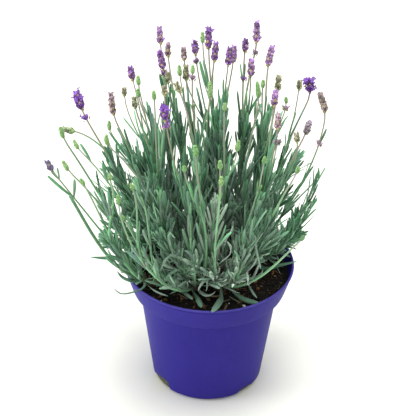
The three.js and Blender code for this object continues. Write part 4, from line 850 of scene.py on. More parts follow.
def make_branch(name, stems, index, materials):
    rng = np.random.default_rng(4100 + index)
    b = Build()
    OWNER[0] = name
    leafy = not stems[0][12]
    silver_shoot = "silver" in name
    bright = BRIGHT.get(name, 0.0)
    top_share, long, tufts, shoots = HABIT.get(name, (0.96 if leafy else rng.uniform(0.54, 0.62), 0.9 if leafy else 1.0, 1.05, 1.1))
    axes = []
    for k, st in enumerate(stems):
        kind, head_len = st[12], st[13]
        ax = lean_head(Axis(bezier(st[:12])), head_len, HEAD_FOOT.get((name, k), 0.0))
        axes.append(ax)
        L = ax.length
        tone = rng.uniform(0.35, 0.95)
        # where the leaf pairs sit
        nodes, s = [], (9.0 if k == 0 else 12.0) + rng.uniform(0, 4)
        gap = (rng.uniform(11.0, 14.0) if not leafy else rng.uniform(10, 12.5)) if k == 0 else 20.0
        top = L * top_share if k == 0 else L * min(0.5, top_share)
        while s < top:
            nodes.append(s)
            gap = min(gap * (1.18 if not leafy else 1.07), 37 if not leafy else 18)
            s += gap * rng.uniform(0.88, 1.1)
        high = [] if leafy or name in THIN or (name, k) in BRACT_PAIRS else ([L * rng.uniform(0.7, 0.78)] if rng.random() < 0.3 and L * 0.2 > head_len + 12 and name not in ("flower_branch_05", "flower_branch_38") else [])
        end = L - head_len * 0.9 if kind else L
        pairs = [(L - head_len - x, l, al, ar, fr, hw) for x, l, al, ar, fr, hw in BRACT_PAIRS.get((name, k), [])]
        marks = nodes + high + [x[0] for x in pairs]
        seg = np.unique(np.concatenate([np.linspace(0, end, max(8, int(end / 8))), [x + e for x in marks for e in (-2.2, 0, 2.2) if 0 < x + e < end]]))
        r0, r1 = (1.36, 0.68) if k == 0 else (0.86, 0.62)
        if name == "leafy_shoot_left_low":
            r0, r1 = 1.6, 1.45
        elif leafy:
            r0, r1 = 1.3, 0.6
        elif name in THIN:
            r0, r1 = 1.35, 0.74
        r = radius_at(seg, L, r0, r1, marks)
        tint = np.array(stalk_tint(rng, seg, L, bright, bool(kind), tone, 0.45 if name in THIN else 1.0)) * (0.66 if name == "leafy_shoot_left_low" else 1.0)
        tube(b, np.array([ax.at(x) for x in seg]), r, tint, SQUARE, mat=1, seed=rng.uniform(0, 40))
        # curly leaves round the foot
        if k == 0 and not silver_shoot:
            for j in range((15 if stems[0][0] < -40 or stems[0][1] > 5 else 10) if name not in SLIM and name != "flower_branch_36" else 2):
                s = rng.uniform(1.5, 16 if stems[0][1] > 5 else 26)
                o = ax.out(s, rng.uniform(0, 6.28))
                a = math.radians(rng.uniform(28, 72))
                c, d = ax.at(s), ax.dir(s)
                l = rng.uniform(16, 32)
                leaf(b, rng, c + o * 0.7, d * math.cos(a) + o * math.sin(a), l, rng.uniform(1.15, 1.75), UP * 0.6 - o * 0.2, UP if rng.random() < 0.7 else o, float(np.clip(rng.normal(0.5, 0.7), -0.9, 1.5)),
                     silver_of(c, rng) + 0.2, rng.normal(0, 0.55), rng.normal(0, 1.1), droop=0.35 * rng.random(), power=rng.uniform(1.2, 2.4))
        # leaf pairs
        phi = rng.uniform(0, 3.14)
        for i, s in enumerate(nodes):
            f = s / max(top, 1)
            c, d = ax.at(s), ax.dir(s)
            sv = 1.2 if silver_shoot and c[2] > 142 else silver_of(c, rng)
            wild = float(np.clip(1 - (c[2] - 134) / 46, 0, 1))
            for side in (0, 1):
                o = ax.out(s, phi + i * math.pi / 2 + side * math.pi + rng.normal(0, 0.14))
                a = math.radians(max(4.0, np.interp(f, [0, 0.25, 0.6, 1], [31, 18, 11, 9]) * (0.72 if name in NARROW else 1.0) + rng.normal(0, 4.0)))
                if silver_shoot:
                    a = math.radians(rng.uniform(12, 26))
                length = float(np.interp(f, [0, 0.2, 0.5, 0.8, 1], [27, 38, 48, 43, 28])) * rng.uniform(0.8, 1.2) * long
                if k:
                    length *= 0.75
                if leafy and name in EDGE:
                    length = min(length, L - s + 7)
                half = float(np.interp(f, [0, 0.3, 1], [1.45, 1.6, 1.32])) * rng.uniform(0.8, 1.15) * (0.82 if name in NARROW else 1.0)
                pick = rng.random()
                if pick < 0.62 - 0.3 * wild:
                    toward, bend = UP, rng.normal(0.1, 0.15 + 0.5 * wild)
                elif pick < 0.9:
                    toward, bend = o, rng.normal(0.2, 0.18 + 0.6 * wild)
                else:
                    toward, bend = cross(d, o), rng.normal(0.0, 0.3 + 0.6 * wild)
                leaf(b, rng, c + o * 0.7, d * math.cos(a) + o * math.sin(a), length, half, d * 0.35 - o, toward,
                     bend, sv, rng.normal(0, 0.06 + 0.3 * wild), rng.normal(0, 0.35 + 0.7 * wild), droop=0.3 * wild * rng.random(), power=1.25 + 0.9 * wild * rng.random())
                # a tuft in the leaf's axil
                if f < 0.92 and not k or f < 0.4:
                    m = rng.uniform(1.6, 3.6) * tufts * (1.0 - 0.25 * wild * (c[1] < -20) + 0.5 * wild * (c[1] > 5)) * (1.0 - 0.3 * float(np.clip((c[2] - 172) / 30, 0, 1)))
                    for j in range(int(m + rng.random())):
                        aa = a * rng.uniform(0.2, 0.9)
                        oo = unit(o + ax.out(s, phi + i * math.pi / 2 + side * math.pi + math.pi / 2) * rng.normal(0, 0.6))
                        ll = max(15.0 + 6 * wild, length * rng.uniform(0.34, 0.68))
                        leaf(b, rng, c + o * 0.8 + d * rng.uniform(0, 1.5), d * math.cos(aa) + oo * math.sin(aa), ll, half * rng.uniform(0.62, 0.88),
                             d * 0.3 - oo, UP if rng.random() < 0.5 else oo, rng.normal(0.12, 0.18 + 0.6 * wild), sv * 1.05, rng.normal(0, 0.12 + 0.2 * wild), rng.normal(0, 0.5 + 0.5 * wild), fresh=0.12 * rng.random(), power=1.25 + 0.8 * wild)
                # a leafy side shoot
                if k == 0 and f < 0.74 and rng.random() < (0.5 if f < 0.4 else 0.36) * shoots * (1.45 if stems[0][1] > 30 else 1.0):
                    aa = a * rng.uniform(0.7, 1.3)
                    small = 0.55 if name in EDGE else 1.0
                    twig(b, rng, c + o * 0.7, d * math.cos(aa) + o * math.sin(aa), rng.uniform(14, 34) * (1.1 - 0.5 * f) * small, int(rng.integers(2, 5)),
                         float(np.interp(f, [0, 0.4, 1], [24, 30, 32])) * (0.5 + 0.5 * small), sv, UP, rng.normal(0.2, 0.16) + 0.35 * (small < 1), 0.15 + 0.4 * wild)
        for s in high:
            # a pair of small fresh bract leaves on the bare stalk
            for side in (0, 1):
                o = ax.out(s, phi + 0.8 + side * math.pi)
                d = ax.dir(s)
                leaf(b, rng, ax.at(s) + o * 0.5, d * 0.98 + o * 0.2, rng.uniform(7, 13), 1.35, d * 0.3 - o, o, 0.1, 0, 0, 0, fresh=0.7)
        for s, l, al, ar, fr, hw in pairs:
            d = ax.dir(s)
            # the pair stands across the line of sight from the front
            w = unit(cross(d, np.array([0.0, -1.0, 0.0])))
            w = w if w[0] > 0 else -w
            for side, deg in ((-1, al), (1, ar)):
                if deg is None:
                    continue
                ll = l[(side + 1) // 2] if isinstance(l, tuple) else l
                o = w * side
                aa = math.radians(deg)
                leaf(b, rng, ax.at(s) + o * 0.5, d * math.cos(aa) + o * math.sin(aa), ll * rng.uniform(0.95, 1.04), hw, np.array([0.0, -1.0, 0.5]), -o, 0.12, 0.15, 0.05, 0.25 * side, fresh=fr, outline=LINEAR, free=True)
        if leafy:
            for j in range(2 if name in SLIM else 6):
                l = rng.uniform(15, 27) * (0.8 if name in EDGE else 1.0)
                s = L * 0.99 - l * (0.75 if name in EDGE else 0.3)
                o = ax.out(s, phi + j * (3.1 if name in SLIM else 1.05))
                a = math.radians(rng.uniform(4, 16))
                d = ax.dir(s)
                leaf(b, rng, ax.at(s), d * math.cos(a) + o * math.sin(a), l, rng.uniform(1.1, 1.5), d * 0.3 - o, o, rng.normal(0.05, 0.12),
                     1.2 if silver_shoot else silver_of(ax.at(s), rng), fresh=0.2 * rng.random() * (not silver_shoot))
        if kind:
            s0, s1 = L - head_len, L - (2.6 if name == "flower_branch_17" and k == 0 else 0.0)
            bloom, wide = BLOOM.get((name, k), (0.0, 1.0))
            if kind == "G":
                green_head(b, rng, ax, s0, s1, 1.0, float(np.clip((262 - ax.p[-1][2]) / 60, 0, 0.8)) if ax.p[-1][1] < -20 else 0.1)
            elif kind == "W":
                whorl(b, rng, ax, (s0 + s1) / 2 - 1.5, rng.uniform(0, 3), "D", 3.2, 8, 0.7, True, 0, 1.0, 0.3)
                whorl(b, rng, ax, s1 - 3.5, rng.uniform(0, 3), "D", 2.2, 5, 0.35, False, 0, 0.8, 0.2)
            else:
                spike(b, rng, ax, s0, s1, SHADE_OF.get((name, k), kind), bloom, wide)
            for dist, wk, count, lean in LOW_WHORLS.get((name, k), []):
                whorl(b, rng, ax, s0 - dist, rng.uniform(-0.4, 0.4), wk, SPREAD[wk] * 0.95, count, math.radians(lean), True, bloom, 0.95, 0.5)
    for owner, pts in FRONT_STEMS:
        if owner != name:
            continue
        ax = Axis(catmull(np.array(pts, float), 10))
        axes.append(ax)
        L = ax.length
        marks = [L * x for x in (0.3, 0.52, 0.72, 0.9)]
        seg = np.unique(np.concatenate([np.linspace(0, L, 16), [x + e for x in marks for e in (-2, 0, 2)]]))
        tube(b, np.array([ax.at(x) for x in seg]), radius_at(seg, L, 1.35, 0.9, marks), stalk_tint(rng, seg, L, 0.85, False, 0), SQUARE, mat=1, seed=rng.uniform(0, 40))
        for i, s in enumerate(marks):
            d = ax.dir(s)
            for side in (0, 1):
                o = ax.out(s, 0.4 + i * 1.3 + side * math.pi)
                a = math.radians(rng.uniform(9, 20))
                leaf(b, rng, ax.at(s) + o * 0.7, d * math.cos(a) + o * math.sin(a), rng.uniform(24, 36), rng.uniform(1.3, 1.7), d * 0.35 - o, UP, rng.normal(0.1, 0.2), 0.35, rng.normal(0, 0.1), rng.normal(0, 0.4))
        for j in range(5):
            o = ax.out(L * 0.99, j * 1.3)
            d = ax.dir(L * 0.99)
            a = math.radians(rng.uniform(4, 16))
            leaf(b, rng, ax.at(L * 0.99), d * math.cos(a) + o * math.sin(a), rng.uniform(20, 34), rng.uniform(1.2, 1.6), d * 0.3 - o, UP, rng.normal(0.1, 0.15), 0.2)
    for owner, pts, head_len, kind, wide in SIDE_STALKS:
        if owner != name:
            continue
        own = np.random.default_rng(77)
        ax = Axis(catmull(np.array(pts, float), 8))
        L = ax.length
        seg = np.linspace(0, L - head_len * 0.9, 22)
        tube(b, np.array([ax.at(x) for x in seg]), np.linspace(1.0, 0.72, len(seg)), stalk_tint(own, seg, L, 0.0, True, 0.9) * 0.86, SQUARE, mat=1, seed=9.0)
        spike(b, own, ax, L - head_len, L, kind, 0.0, wide)
    for owner, pts, half, tone in FRONT_LEAVES:
        if owner != name:
            continue
        raw = np.array(pts, float)
        line = np.concatenate([a.p for a in axes])
        near = line[np.argmin(np.linalg.norm(line - raw[0], axis=1))]
        gap = np.linalg.norm(near - raw[0])
        if gap > 1.0:
            raw = np.concatenate([[near], raw])
        fine = catmull(raw, 9)
        chord = unit(fine[-1] - fine[0])
        if tone == "g":
            c = mix(LEAF_GREEN[2], LEAF_SILVER[1], 0.35)
        elif tone == "s":
            c = LEAF_SILVER[1 + int(rng.integers(3))] * 1.08
        else:
            c = mix(LEAF_GREEN[1], LEAF_SILVER[2], 0.45) * 0.85
        up = UP if abs(chord[2]) < 0.75 else np.array([0.0, -1.0, 0.4])
        foot = min(0.75, gap / max(1.0, np.linalg.norm(np.diff(fine, axis=0), axis=1).sum()))
        x, w = SPOON if half > 1.5 else LINEAR
        o = (np.concatenate([[0], foot + (1 - foot) * x]), np.concatenate([[0.28], w])) if foot > 0.02 else (x, w)
        if len(pts) > 4:
            o = (np.unique(np.concatenate([o[0], np.linspace(0, 1, 15)])), np.interp(np.unique(np.concatenate([o[0], np.linspace(0, 1, 15)])), o[0], o[1]))
        blade(b, fine, half, up, along_tint(c, len(o[0]), 0.75, 1.12), o, rng.normal(0, 0.2), 0, rng.uniform(0, 40), lin("a9bcb0"))
    for owner, pts, half in FOOT_LEAVES:
        if owner != name:
            continue
        root = axes[0].at(2.5)
        raw = np.array([root] + [np.array(p, float) for p in pts])
        fine = catmull(raw, 9)
        chord = unit(fine[-1] - fine[0])
        out = raw[1] - raw[0]
        out = out - chord * np.dot(out, chord)
        c = mix(LEAF_GREEN[1], LEAF_SILVER[2], 0.25 + 0.4 * (half > 2.5)) * rng.uniform(0.9, 1.05)
        up = unit(UP + np.array([0, -0.9, 0])) if abs(chord[2]) < 0.8 else out
        blade(b, fine, half * (1.2 if half > 2 else 1.4), up, along_tint(c, 8 if half > 2 else 12, 0.85, 1.1), SPOON if half > 2 else CURLED, rng.normal(0, 0.25), 0, rng.uniform(0, 40), lin("a9bcb0"))
    o = b.mesh(name + "_plant", materials)
    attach(o, "root")
    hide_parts(name)
    return o, len(b.f)


def catmull(p, per):
    """A smooth polyline through points."""
    q = np.concatenate([[2 * p[0] - p[1]], p, [2 * p[-1] - p[-2]]])
    out = []
    for i in range(1, len(q) - 2):
        for t in np.linspace(0, 1, per, endpoint=False):
            a, b_, c, d = q[i - 1], q[i], q[i + 1], q[i + 2]
            out.append(0.5 * (2 * b_ + (c - a) * t + (2 * a - 5 * b_ + 4 * c - d) * t * t + (3 * b_ - a - 3 * c + d) * t ** 3))
    out.append(q[-2])
    return np.array(out)


# ---- value noise for the soil and the bark ----
_lattice = np.random.default_rng(77).uniform(-1, 1, (64, 64, 16))


def noise3(p, scale):
    q = np.asarray(p, float) / scale
    i = np.floor(q).astype(int)
    f = q - i
    f = f * f * (3 - 2 * f)
    out = 0
    for dx in (0, 1):
        for dy in (0, 1):
            for dz in (0, 1):
                w = (f[..., 0] if dx else 1 - f[..., 0]) * (f[..., 1] if dy else 1 - f[..., 1]) * (f[..., 2] if dz else 1 - f[..., 2])
                out = out + w * _lattice[(i[..., 0] + dx) % 64, (i[..., 1] + dy) % 64, (i[..., 2] + dz) % 16]
    return out


# ---- pot ----
def wall_r(z):
    return BODY_FOOT_RADIUS + (BODY_TOP_RADIUS - BODY_FOOT_RADIUS) * z / (POT_HEIGHT - BAND_HEIGHT)


def pot_profile():
    """Radius and height round the wall's section, from the middle of the underside out, up, over the lip and back inside."""
    zb = POT_HEIGHT - BAND_HEIGHT
    p = [(0.0, 0.9), (28.0, 0.9), (45.5, 0.9), (47.2, 0.75), (48.0, 0.25), (48.6, 0.0), (49.4, 0.0)]
    cx, rr = wall_r(FOOT_FILLET) - FOOT_FILLET, FOOT_FILLET
    for a in np.linspace(-88, 0, 9):
        p.append((cx + rr * math.cos(math.radians(a)), FOOT_FILLET + rr * math.sin(math.radians(a))))
    for z in (14, 26, 38, 50, 62, 74, 86, 96, 103, zb - 2.2):
        p.append((wall_r(z), z))
    p += [(wall_r(zb - 1.2), zb - 1.2), (70.6, zb - 0.45), (71.6, zb - 0.08), (73.4, zb), (75.9, zb), (76.6, zb + 0.12), (77.1, zb + 0.65), (77.35, zb + 1.5)]
    for z in (112, 116, 120, 124, 128, 131):
        p.append((77.1 + (RIM_RADIUS - 0.75 - 77.1) * (z - zb) / (BAND_HEIGHT - 3.0), z))
    p += [(84.3, 132.1), (84.72, 132.6), (84.98, 133.2), (85.0, 133.75), (84.75, 134.25), (84.25, 134.55), (83.65, 134.6), (83.1, 134.45), (82.75, 134.1), (82.5, 133.4), (82.3, 132.4)]
    for z in (128, 122, 116, 111.5):
        p.append((77.1 - WALL + (RIM_RADIUS - 0.75 - 77.1) * (z - zb) / (BAND_HEIGHT - 3.0), z))
    p += [(75.4, zb + 2.6), (74.8, zb + 2.0), (73.6, zb + 1.75), (70.2, zb + 1.65), (69.2, zb + 1.3), (68.6, zb + 0.2)]
    for z in (100, 80, 60, 40, 22, 9.5):
        p.append((wall_r(z) - WALL, z))
    p += [(52.6, 5.0), (51.4, 3.4), (49.6, 2.6), (47.5, FLOOR_THICKNESS), (28.0, FLOOR_THICKNESS), (0.0, FLOOR_THICKNESS)]
    return p


def lathe(profile, n):
    """A closed lathe about Z; the profile starts and ends on the axis, outside first."""
    v, f = [(0, 0, profile[0][1])], []
    body = profile[1:-1]
    for r, z in body:
        for k in range(n):
            a = 2 * math.pi * k / n
            v.append((r * math.cos(a), r * math.sin(a), z))
    v.append((0, 0, profile[-1][1]))
    last = len(v) - 1
    for k in range(n):
        l = (k + 1) % n
        f.append([0, 1 + l, 1 + k])
        f.append([last, 1 + (len(body) - 1) * n + k, 1 + (len(body) - 1) * n + l])
        for i in range(len(body) - 1):
            a, b = 1 + i * n, 1 + (i + 1) * n
            f.append([a + k, a + l, b + l, b + k])
    return np.array(v, float), f


def raw_object(name, v, f):
    me = bpy.data.meshes.new(name)
    me.from_pydata([tuple(x) for x in np.asarray(v) * MM], [], f)
    me.update()
    o = bpy.data.objects.new(name, me)
    bpy.context.scene.collection.objects.link(o)
    return o


def slot_cutter(inner, edge):
    """A ring segment under a wavy upper edge that cuts one drainage slot through the foot."""
    a0 = [x[0] for x in edge]
    fine = np.unique(np.concatenate([a0, np.arange(math.ceil(a0[0]), a0[-1], 2.0)]))
    fine = fine[np.concatenate([[True], np.diff(fine) > 0.3])]
    v = []
    for a in fine:
        z = float(np.interp(a, a0, [x[1] for x in edge]))
        fwd = np.array([math.sin(math.radians(a)), -math.cos(math.radians(a)), 0])
        v += [fwd * inner - UP, fwd * 66.0 - UP, fwd * 66.0 + UP * z, fwd * inner + UP * z]
    n = len(fine)
    f = [[0, 1, 2, 3], [4 * n - 4, 4 * n - 1, 4 * n - 2, 4 * n - 3]]
    for k in range(n - 1):
        p, q = 4 * k, 4 * k + 4
        for x, y in ((0, 1), (1, 2), (2, 3), (3, 0)):
            f.append([p + x, q + x, q + y, p + y])
    return raw_object("cutter", v, f)


def make_pot(material):
    v, f = lathe(pot_profile(), 144)
    o = raw_object("pot_shell", v, f)
    cutters = [slot_cutter(*s) for s in FOOT_SLOTS]
    for i in range(DRAIN_HOLES):
        a = 2 * math.pi * (i + 0.5) / DRAIN_HOLES
        c = np.array([33 * math.cos(a), 33 * math.sin(a), 0])
        n = 20
        vv = [c + np.array([4 * math.cos(2 * math.pi * k / n), 4 * math.sin(2 * math.pi * k / n), z]) for z in (-1, 5) for k in range(n)]
        ff = [[k for k in range(n)][::-1], [n + k for k in range(n)]] + [[k, (k + 1) % n, n + (k + 1) % n, n + k] for k in range(n)]
        cutters.append(raw_object("cutter", vv, ff))
    for c in cutters:
        m = o.modifiers.new("cut", "BOOLEAN")
        m.operation, m.solver, m.object = "DIFFERENCE", "EXACT", c
    dg = bpy.context.evaluated_depsgraph_get()
    me = bpy.data.meshes.new_from_object(o.evaluated_get(dg))
    o.modifiers.clear()
    old = o.data
    o.data = me
    bpy.data.meshes.remove(old)
    for c in cutters:
        m = c.data
        bpy.data.objects.remove(c)
        bpy.data.meshes.remove(m)
    me.name = "pot_shell"
    me.polygons.foreach_set("use_smooth", np.ones(len(me.polygons), bool))
    me.set_sharp_from_angle(angle=math.radians(38))
    me.materials.clear()
    me.materials.append(material)
    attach(o, "root")
    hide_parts("pot")
    return o


# ---- potting soil ----
def soil_height(x, y):
    r = np.hypot(x, y)
    p = np.stack([x, y, np.zeros_like(x)], -1)
    h = SOIL_TOP - 0.6 + 2.6 * np.clip(1 - r / 62, 0, 1) - 1.3 * np.clip((r - 70) / 10, 0, 1)
    return h + 1.25 * noise3(p, 17.0) + 0.75 * noise3(p + 31, 6.1) + 0.4 * noise3(p + 7, 2.3)


def lump(b, rng, c, size, tint, mat, squash=0.8, level=1):
    """A small irregular stone-like crumb."""
    t = (1 + 5 ** 0.5) / 2
    v = np.array([(-1, t, 0), (1, t, 0), (-1, -t, 0), (1, -t, 0), (0, -1, t), (0, 1, t), (0, -1, -t), (0, 1, -t), (t, 0, -1), (t, 0, 1), (-t, 0, -1), (-t, 0, 1)], float)
    f = [(0, 11, 5), (0, 5, 1), (0, 1, 7), (0, 7, 10), (0, 10, 11), (1, 5, 9), (5, 11, 4), (11, 10, 2), (10, 7, 6), (7, 1, 8), (3, 9, 4), (3, 4, 2), (3, 2, 6), (3, 6, 8), (3, 8, 9), (4, 9, 5), (2, 4, 11), (6, 2, 10), (8, 6, 7), (9, 8, 1)]
    v /= np.linalg.norm(v[0])
    for _ in range(level):
        mid, nf, v = {}, [], list(v)

        def half(i, j):
            key = (min(i, j), max(i, j))
            if key not in mid:
                mid[key] = len(v)
                m = (np.asarray(v[i]) + np.asarray(v[j])) / 2
                v.append(m / np.linalg.norm(m))
            return mid[key]
        for a, c2, d in f:
            x, y, z = half(a, c2), half(c2, d), half(d, a)
            nf += [(a, x, z), (c2, y, x), (d, z, y), (x, y, z)]
        v, f = np.array(v), nf
    off = rng.uniform(0, 40, 3)
    k = 1 + 0.34 * noise3(v * 1.0 + off, 0.9) + 0.12 * noise3(v + off + 5, 0.4)
    q = Matrix.Rotation(rng.uniform(0, 6.28), 3, Vector(unit(rng.normal(0, 1, 3))))
    s = np.array([1, rng.uniform(0.65, 1.0), rng.uniform(0.5, 0.9)])
    w = (v * k[:, None] * s) @ np.array(q).T * size
    w[:, 2] *= squash
    b.add(w + c, [list(x) for x in f], np.broadcast_to(tint, (len(w), 3)), w + off, mat)


def make_soil(materials):
    rng = np.random.default_rng(909)
    b = Build()
    zb = POT_HEIGHT - BAND_HEIGHT
    edge = 77.1 - WALL + (RIM_RADIUS - 0.75 - 77.1) * (SOIL_TOP - 1 - zb) / (BAND_HEIGHT - 3.0) - 0.25
    n, rings = 150, 46
    rad = edge * (np.linspace(0, 1, rings + 1)[1:]) ** 0.85
    a = 2 * math.pi * np.arange(n) / n
    x, y = rad[:, None] * np.cos(a), rad[:, None] * np.sin(a)
    z = soil_height(x, y)
    top = np.stack([x, y, z], -1).reshape(-1, 3)
    centre = np.array([[0, 0, float(soil_height(np.array([0.0]), np.array([0.0]))[0])]])
    skirt = []
    az = np.degrees(np.arctan2(x[0], -y[0]))
    full = np.zeros(n)
    for inner, line in FOOT_SLOTS:
        if inner > 50:
            full[(az > line[0][0] + 2.0) & (az < line[-1][0] - 1.6)] = 1
    for r, zz in ((edge, SOIL_TOP - 4), (edge - 1.6, 117), (edge - 3.6, zb + 2.9), (wall_r(zb - 3) - WALL - 0.35, zb - 3), (wall_r(60) - WALL - 0.35, 60), (wall_r(15) - WALL - 0.4, 15)):
        skirt.append(np.stack([r * np.cos(a), r * np.sin(a), np.full(n, zz)], -1))
    cx = wall_r(FOOT_FILLET) - FOOT_FILLET
    # at the foot slots the lower skirt is pushed out to 1 mm inside the pot's outer wall, a dark piece of soil that
    # stands in for the shade seen through the slots
    for r, zz, low in ((wall_r(12) - WALL - 0.4, 12, 12.4), (wall_r(9) - WALL - 0.4, 9, 9.5), (53.0, 6.4, 6.4), (51.9, 4.6, 3.2), (50.2, 3.4, 0.8)):
        out = wall_r(low) if low > FOOT_FILLET else cx + math.sqrt(FOOT_FILLET ** 2 - (FOOT_FILLET - low) ** 2)
        rr = r + (out - 1.0 - r) * full
        skirt.append(np.stack([rr * np.cos(a), rr * np.sin(a), zz + (low - zz) * full], -1))
    skirt.append(np.stack([45.0 * np.cos(a), 45.0 * np.sin(a), np.full(n, 2.9)], -1))
    skirt = np.concatenate(skirt)
    v = np.concatenate([centre, top, skirt, [[0, 0, 2.9]]])
    f = [[0, 1 + k, 1 + (k + 1) % n] for k in range(n)]
    total = rings + 12
    for i in range(total - 1):
        for k in range(n):
            l = (k + 1) % n
            p0, p1 = 1 + i * n, 1 + (i + 1) * n
            f.append([p0 + k, p1 + k, p1 + l, p0 + l])
    last = len(v) - 1
    f += [[last, 1 + (total - 1) * n + (k + 1) % n, 1 + (total - 1) * n + k] for k in range(n)]
    dark = lin("151312")
    t = dark[None] * (1 + 0.25 * noise3(v, 5.0))[:, None]
    # painted shade: the soil low down, seen through the foot slots, is tinted olive grey as the shade under the pot
    t[v[:, 2] < 13.0] = lin("5c5e46")
    b.add(v, f, t, v, 0)

    def spot(r0=0.0, r1=78.0):
        while True:
            u = rng.uniform(-r1, r1, 2)
            r = np.hypot(*u)
            if r0 <= r <= r1:
                # most of the crumbs lie where the soil shows, in front and on the right
                if u[1] < -28 or u[0] > 28 or rng.random() < 0.4:
                    return u

    def height(u):
        return float(soil_height(np.array([u[0]]), np.array([u[1]]))[0])
    browns = [lin(c) for c in ("1a1715", "241d18", "161413", "33271c", "141210", "1f1a16", "5a4128", "201a16", "7a5832", "171412")]
    for i in range(1250):
        s = rng.gamma(2.0, 0.36) + 0.38
        u = spot(0, 78.4 - s)
        lump(b, rng, np.array([u[0], u[1], height(u) + s * 0.15]), s, browns[rng.integers(10)] * rng.uniform(0.8, 1.35), 1, 0.8, 1 if s > 1.6 else 0)
    for i in range(46):
        # bark chips and bits of twig
        u = spot(0, 74)
        h = height(u)
        d = unit([rng.normal(), rng.normal(), rng.normal(0, 0.22)])
        l = rng.uniform(3.0, 8.5)
        p = np.array([[u[0], u[1], h + 0.8]]) + d[None] * np.linspace(-l / 2, l / 2, 5)[:, None] + UP * rng.normal(0, 0.15, (5, 1))
        w = rng.uniform(0.5, 1.25)
        sec = np.array([[1, 0.35], [0.3, 0.5], [-0.8, 0.38], [-1, -0.3], [-0.1, -0.5], [0.9, -0.35]]) * np.array([-1, 1])[None] * -1
        tube(b, p, w * np.array([0.35, 0.95, 1.0, 0.85, 0.3]), lin(("6b4a30", "7c5233", "4b3525", "8a5f3c")[rng.integers(4)]) * rng.uniform(0.7, 1.15), sec, mat=2, seed=rng.uniform(0, 40), ripple=0.12, rng=rng)
    for i in range(620):
        # peat and coir fibres
        u = spot(0, 76)
        if u[0] < 26 and rng.random() < 0.55:
            continue
        h = height(u)
        l = rng.uniform(0.8, 4.6) if rng.random() < 0.8 else rng.uniform(5, 9)
        d = unit([rng.normal(), rng.normal(), rng.normal(0.05, 0.25)])
        p = bent(np.array([u[0], u[1], h + 0.25]), d, l, unit([rng.normal(), rng.normal(), rng.normal(0, 0.5)]), rng.normal(0, 1.5), rng.normal(0, 0.5), 7)
        hh = soil_height(p[:, 0], p[:, 1])
        p[:, 2] = np.clip(p[:, 2], hh + 0.1, hh + 2.6)
        if np.any(np.hypot(p[:, 0], p[:, 1]) > 79):
            continue
        c = lin(("a87c48", "8c6a40", "c09a62", "5e4a32", "cfae78", "6e5438")[rng.integers(6)]) * rng.uniform(0.2, 1.0)
        tube(b, p, np.linspace(0.2, 0.09, len(p)) * rng.uniform(0.6, 1.25), c, n=4, mat=2, seed=rng.uniform(0, 40))
    for (x0, y0), s in (((34.5, -60.5), 1.7), ((-46, -55.0), 0.9), ((58, 18), 1.3), ((52, -26), 0.8), ((-20, -66), 0.7), ((10, 66), 1.5), ((-60, 30), 1.2), ((66, -8), 0.9), ((20, -56), 0.8)):
        lump(b, rng, np.array([x0, y0, height((x0, y0)) + s * 0.35]), s, lin("e9e6dc") * rng.uniform(0.92, 1.0), 3, 0.85, 2)
    o = b.mesh("potting_mix", materials)
    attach(o, "root")
    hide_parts("soil")
    return o


# ---- woody base ----
def make_wood(materials):
    rng = np.random.default_rng(515)
    b = Build()
    zt = SOIL_TOP + 2.9
    c0 = np.array([NUBS[0][0], NUBS[0][1], 0.0])
    p = np.array([c0 + UP * z for z in np.linspace(96, 129, 8)])
    tube(b, p, [3.2, 4.6, 5.6, 6.3, 6.8, 7.0, 6.9, 5.2], BARK, n=12, seed=3, ripple=0.07, rng=rng)
    for i, (x, y) in enumerate(NUBS):
        c = np.array([x, y, 130.0])
        lump(b, rng, c, 5.35, BARK * rng.uniform(0.8, 1.05), 0, 1.0, 2)
        if i:
            a0, a1 = np.array([NUBS[0][0], NUBS[0][1], zt + 0.2]), np.array([x, y, zt + 0.2])
            side = unit([-(a1[1] - a0[1]), a1[0] - a0[0], 0]) * (3 if i % 2 else -3)
            m = (a0 + a1) / 2 + side
            t = np.linspace(0, 1, 14)[:, None]
            q = a0 * (1 - t) ** 2 + 2 * m * t * (1 - t) + a1 * t * t
            q[:, 2] += 0.5 * np.sin(np.linspace(0, 9, 14) + i)
            tube(b, q, 2.9 + 0.35 * np.sin(np.linspace(0, 12, 14) + i * 2), BARK * rng.uniform(0.75, 1.1), n=9, seed=i * 5.0, ripple=0.08, rng=rng)
        # short old stubs and dry leaf bases round each knob
        for k in range(7):
            a = rng.uniform(0, 6.28)
            d = unit([math.cos(a), math.sin(a), rng.uniform(0.5, 1.6)])
            pp = bent(c + d * 4.2, d, rng.uniform(3, 7), UP, rng.normal(0.2, 0.3), 0.1, 5)
            tube(b, pp, np.linspace(1.1, 0.7, len(pp)), BARK * rng.uniform(0.7, 1.3), n=6, seed=rng.uniform(0, 40), ripple=0.06, rng=rng)
    # dry fallen leaves on the soil
    for k in range(34):
        a = rng.uniform(0, 6.28)
        r = rng.uniform(20, 70)
        x, y = r * math.cos(a), r * math.sin(a)
        h = float(soil_height(np.array([x]), np.array([y]))[0])
        d = unit([rng.normal(), rng.normal(), 0.05])
        p = bent(np.array([x, y, h + 1.2]), d, rng.uniform(9, 20), UP, rng.normal(0.2, 0.3), rng.normal(0, 0.3), 8)
        if np.any(np.hypot(p[:, 0], p[:, 1]) > 78):
            continue
        c = lin(("8a7b62", "9b927a", "6f6350", "7d8470")[rng.integers(4)]) * rng.uniform(0.7, 1.05)
        blade(b, p, rng.uniform(0.9, 1.4), UP, c, SMALL, rng.normal(0, 1.2), 1, rng.uniform(0, 40))
    o = b.mesh("woody_stock", materials)
    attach(o, "root")
    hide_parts("woody_base")
    return o


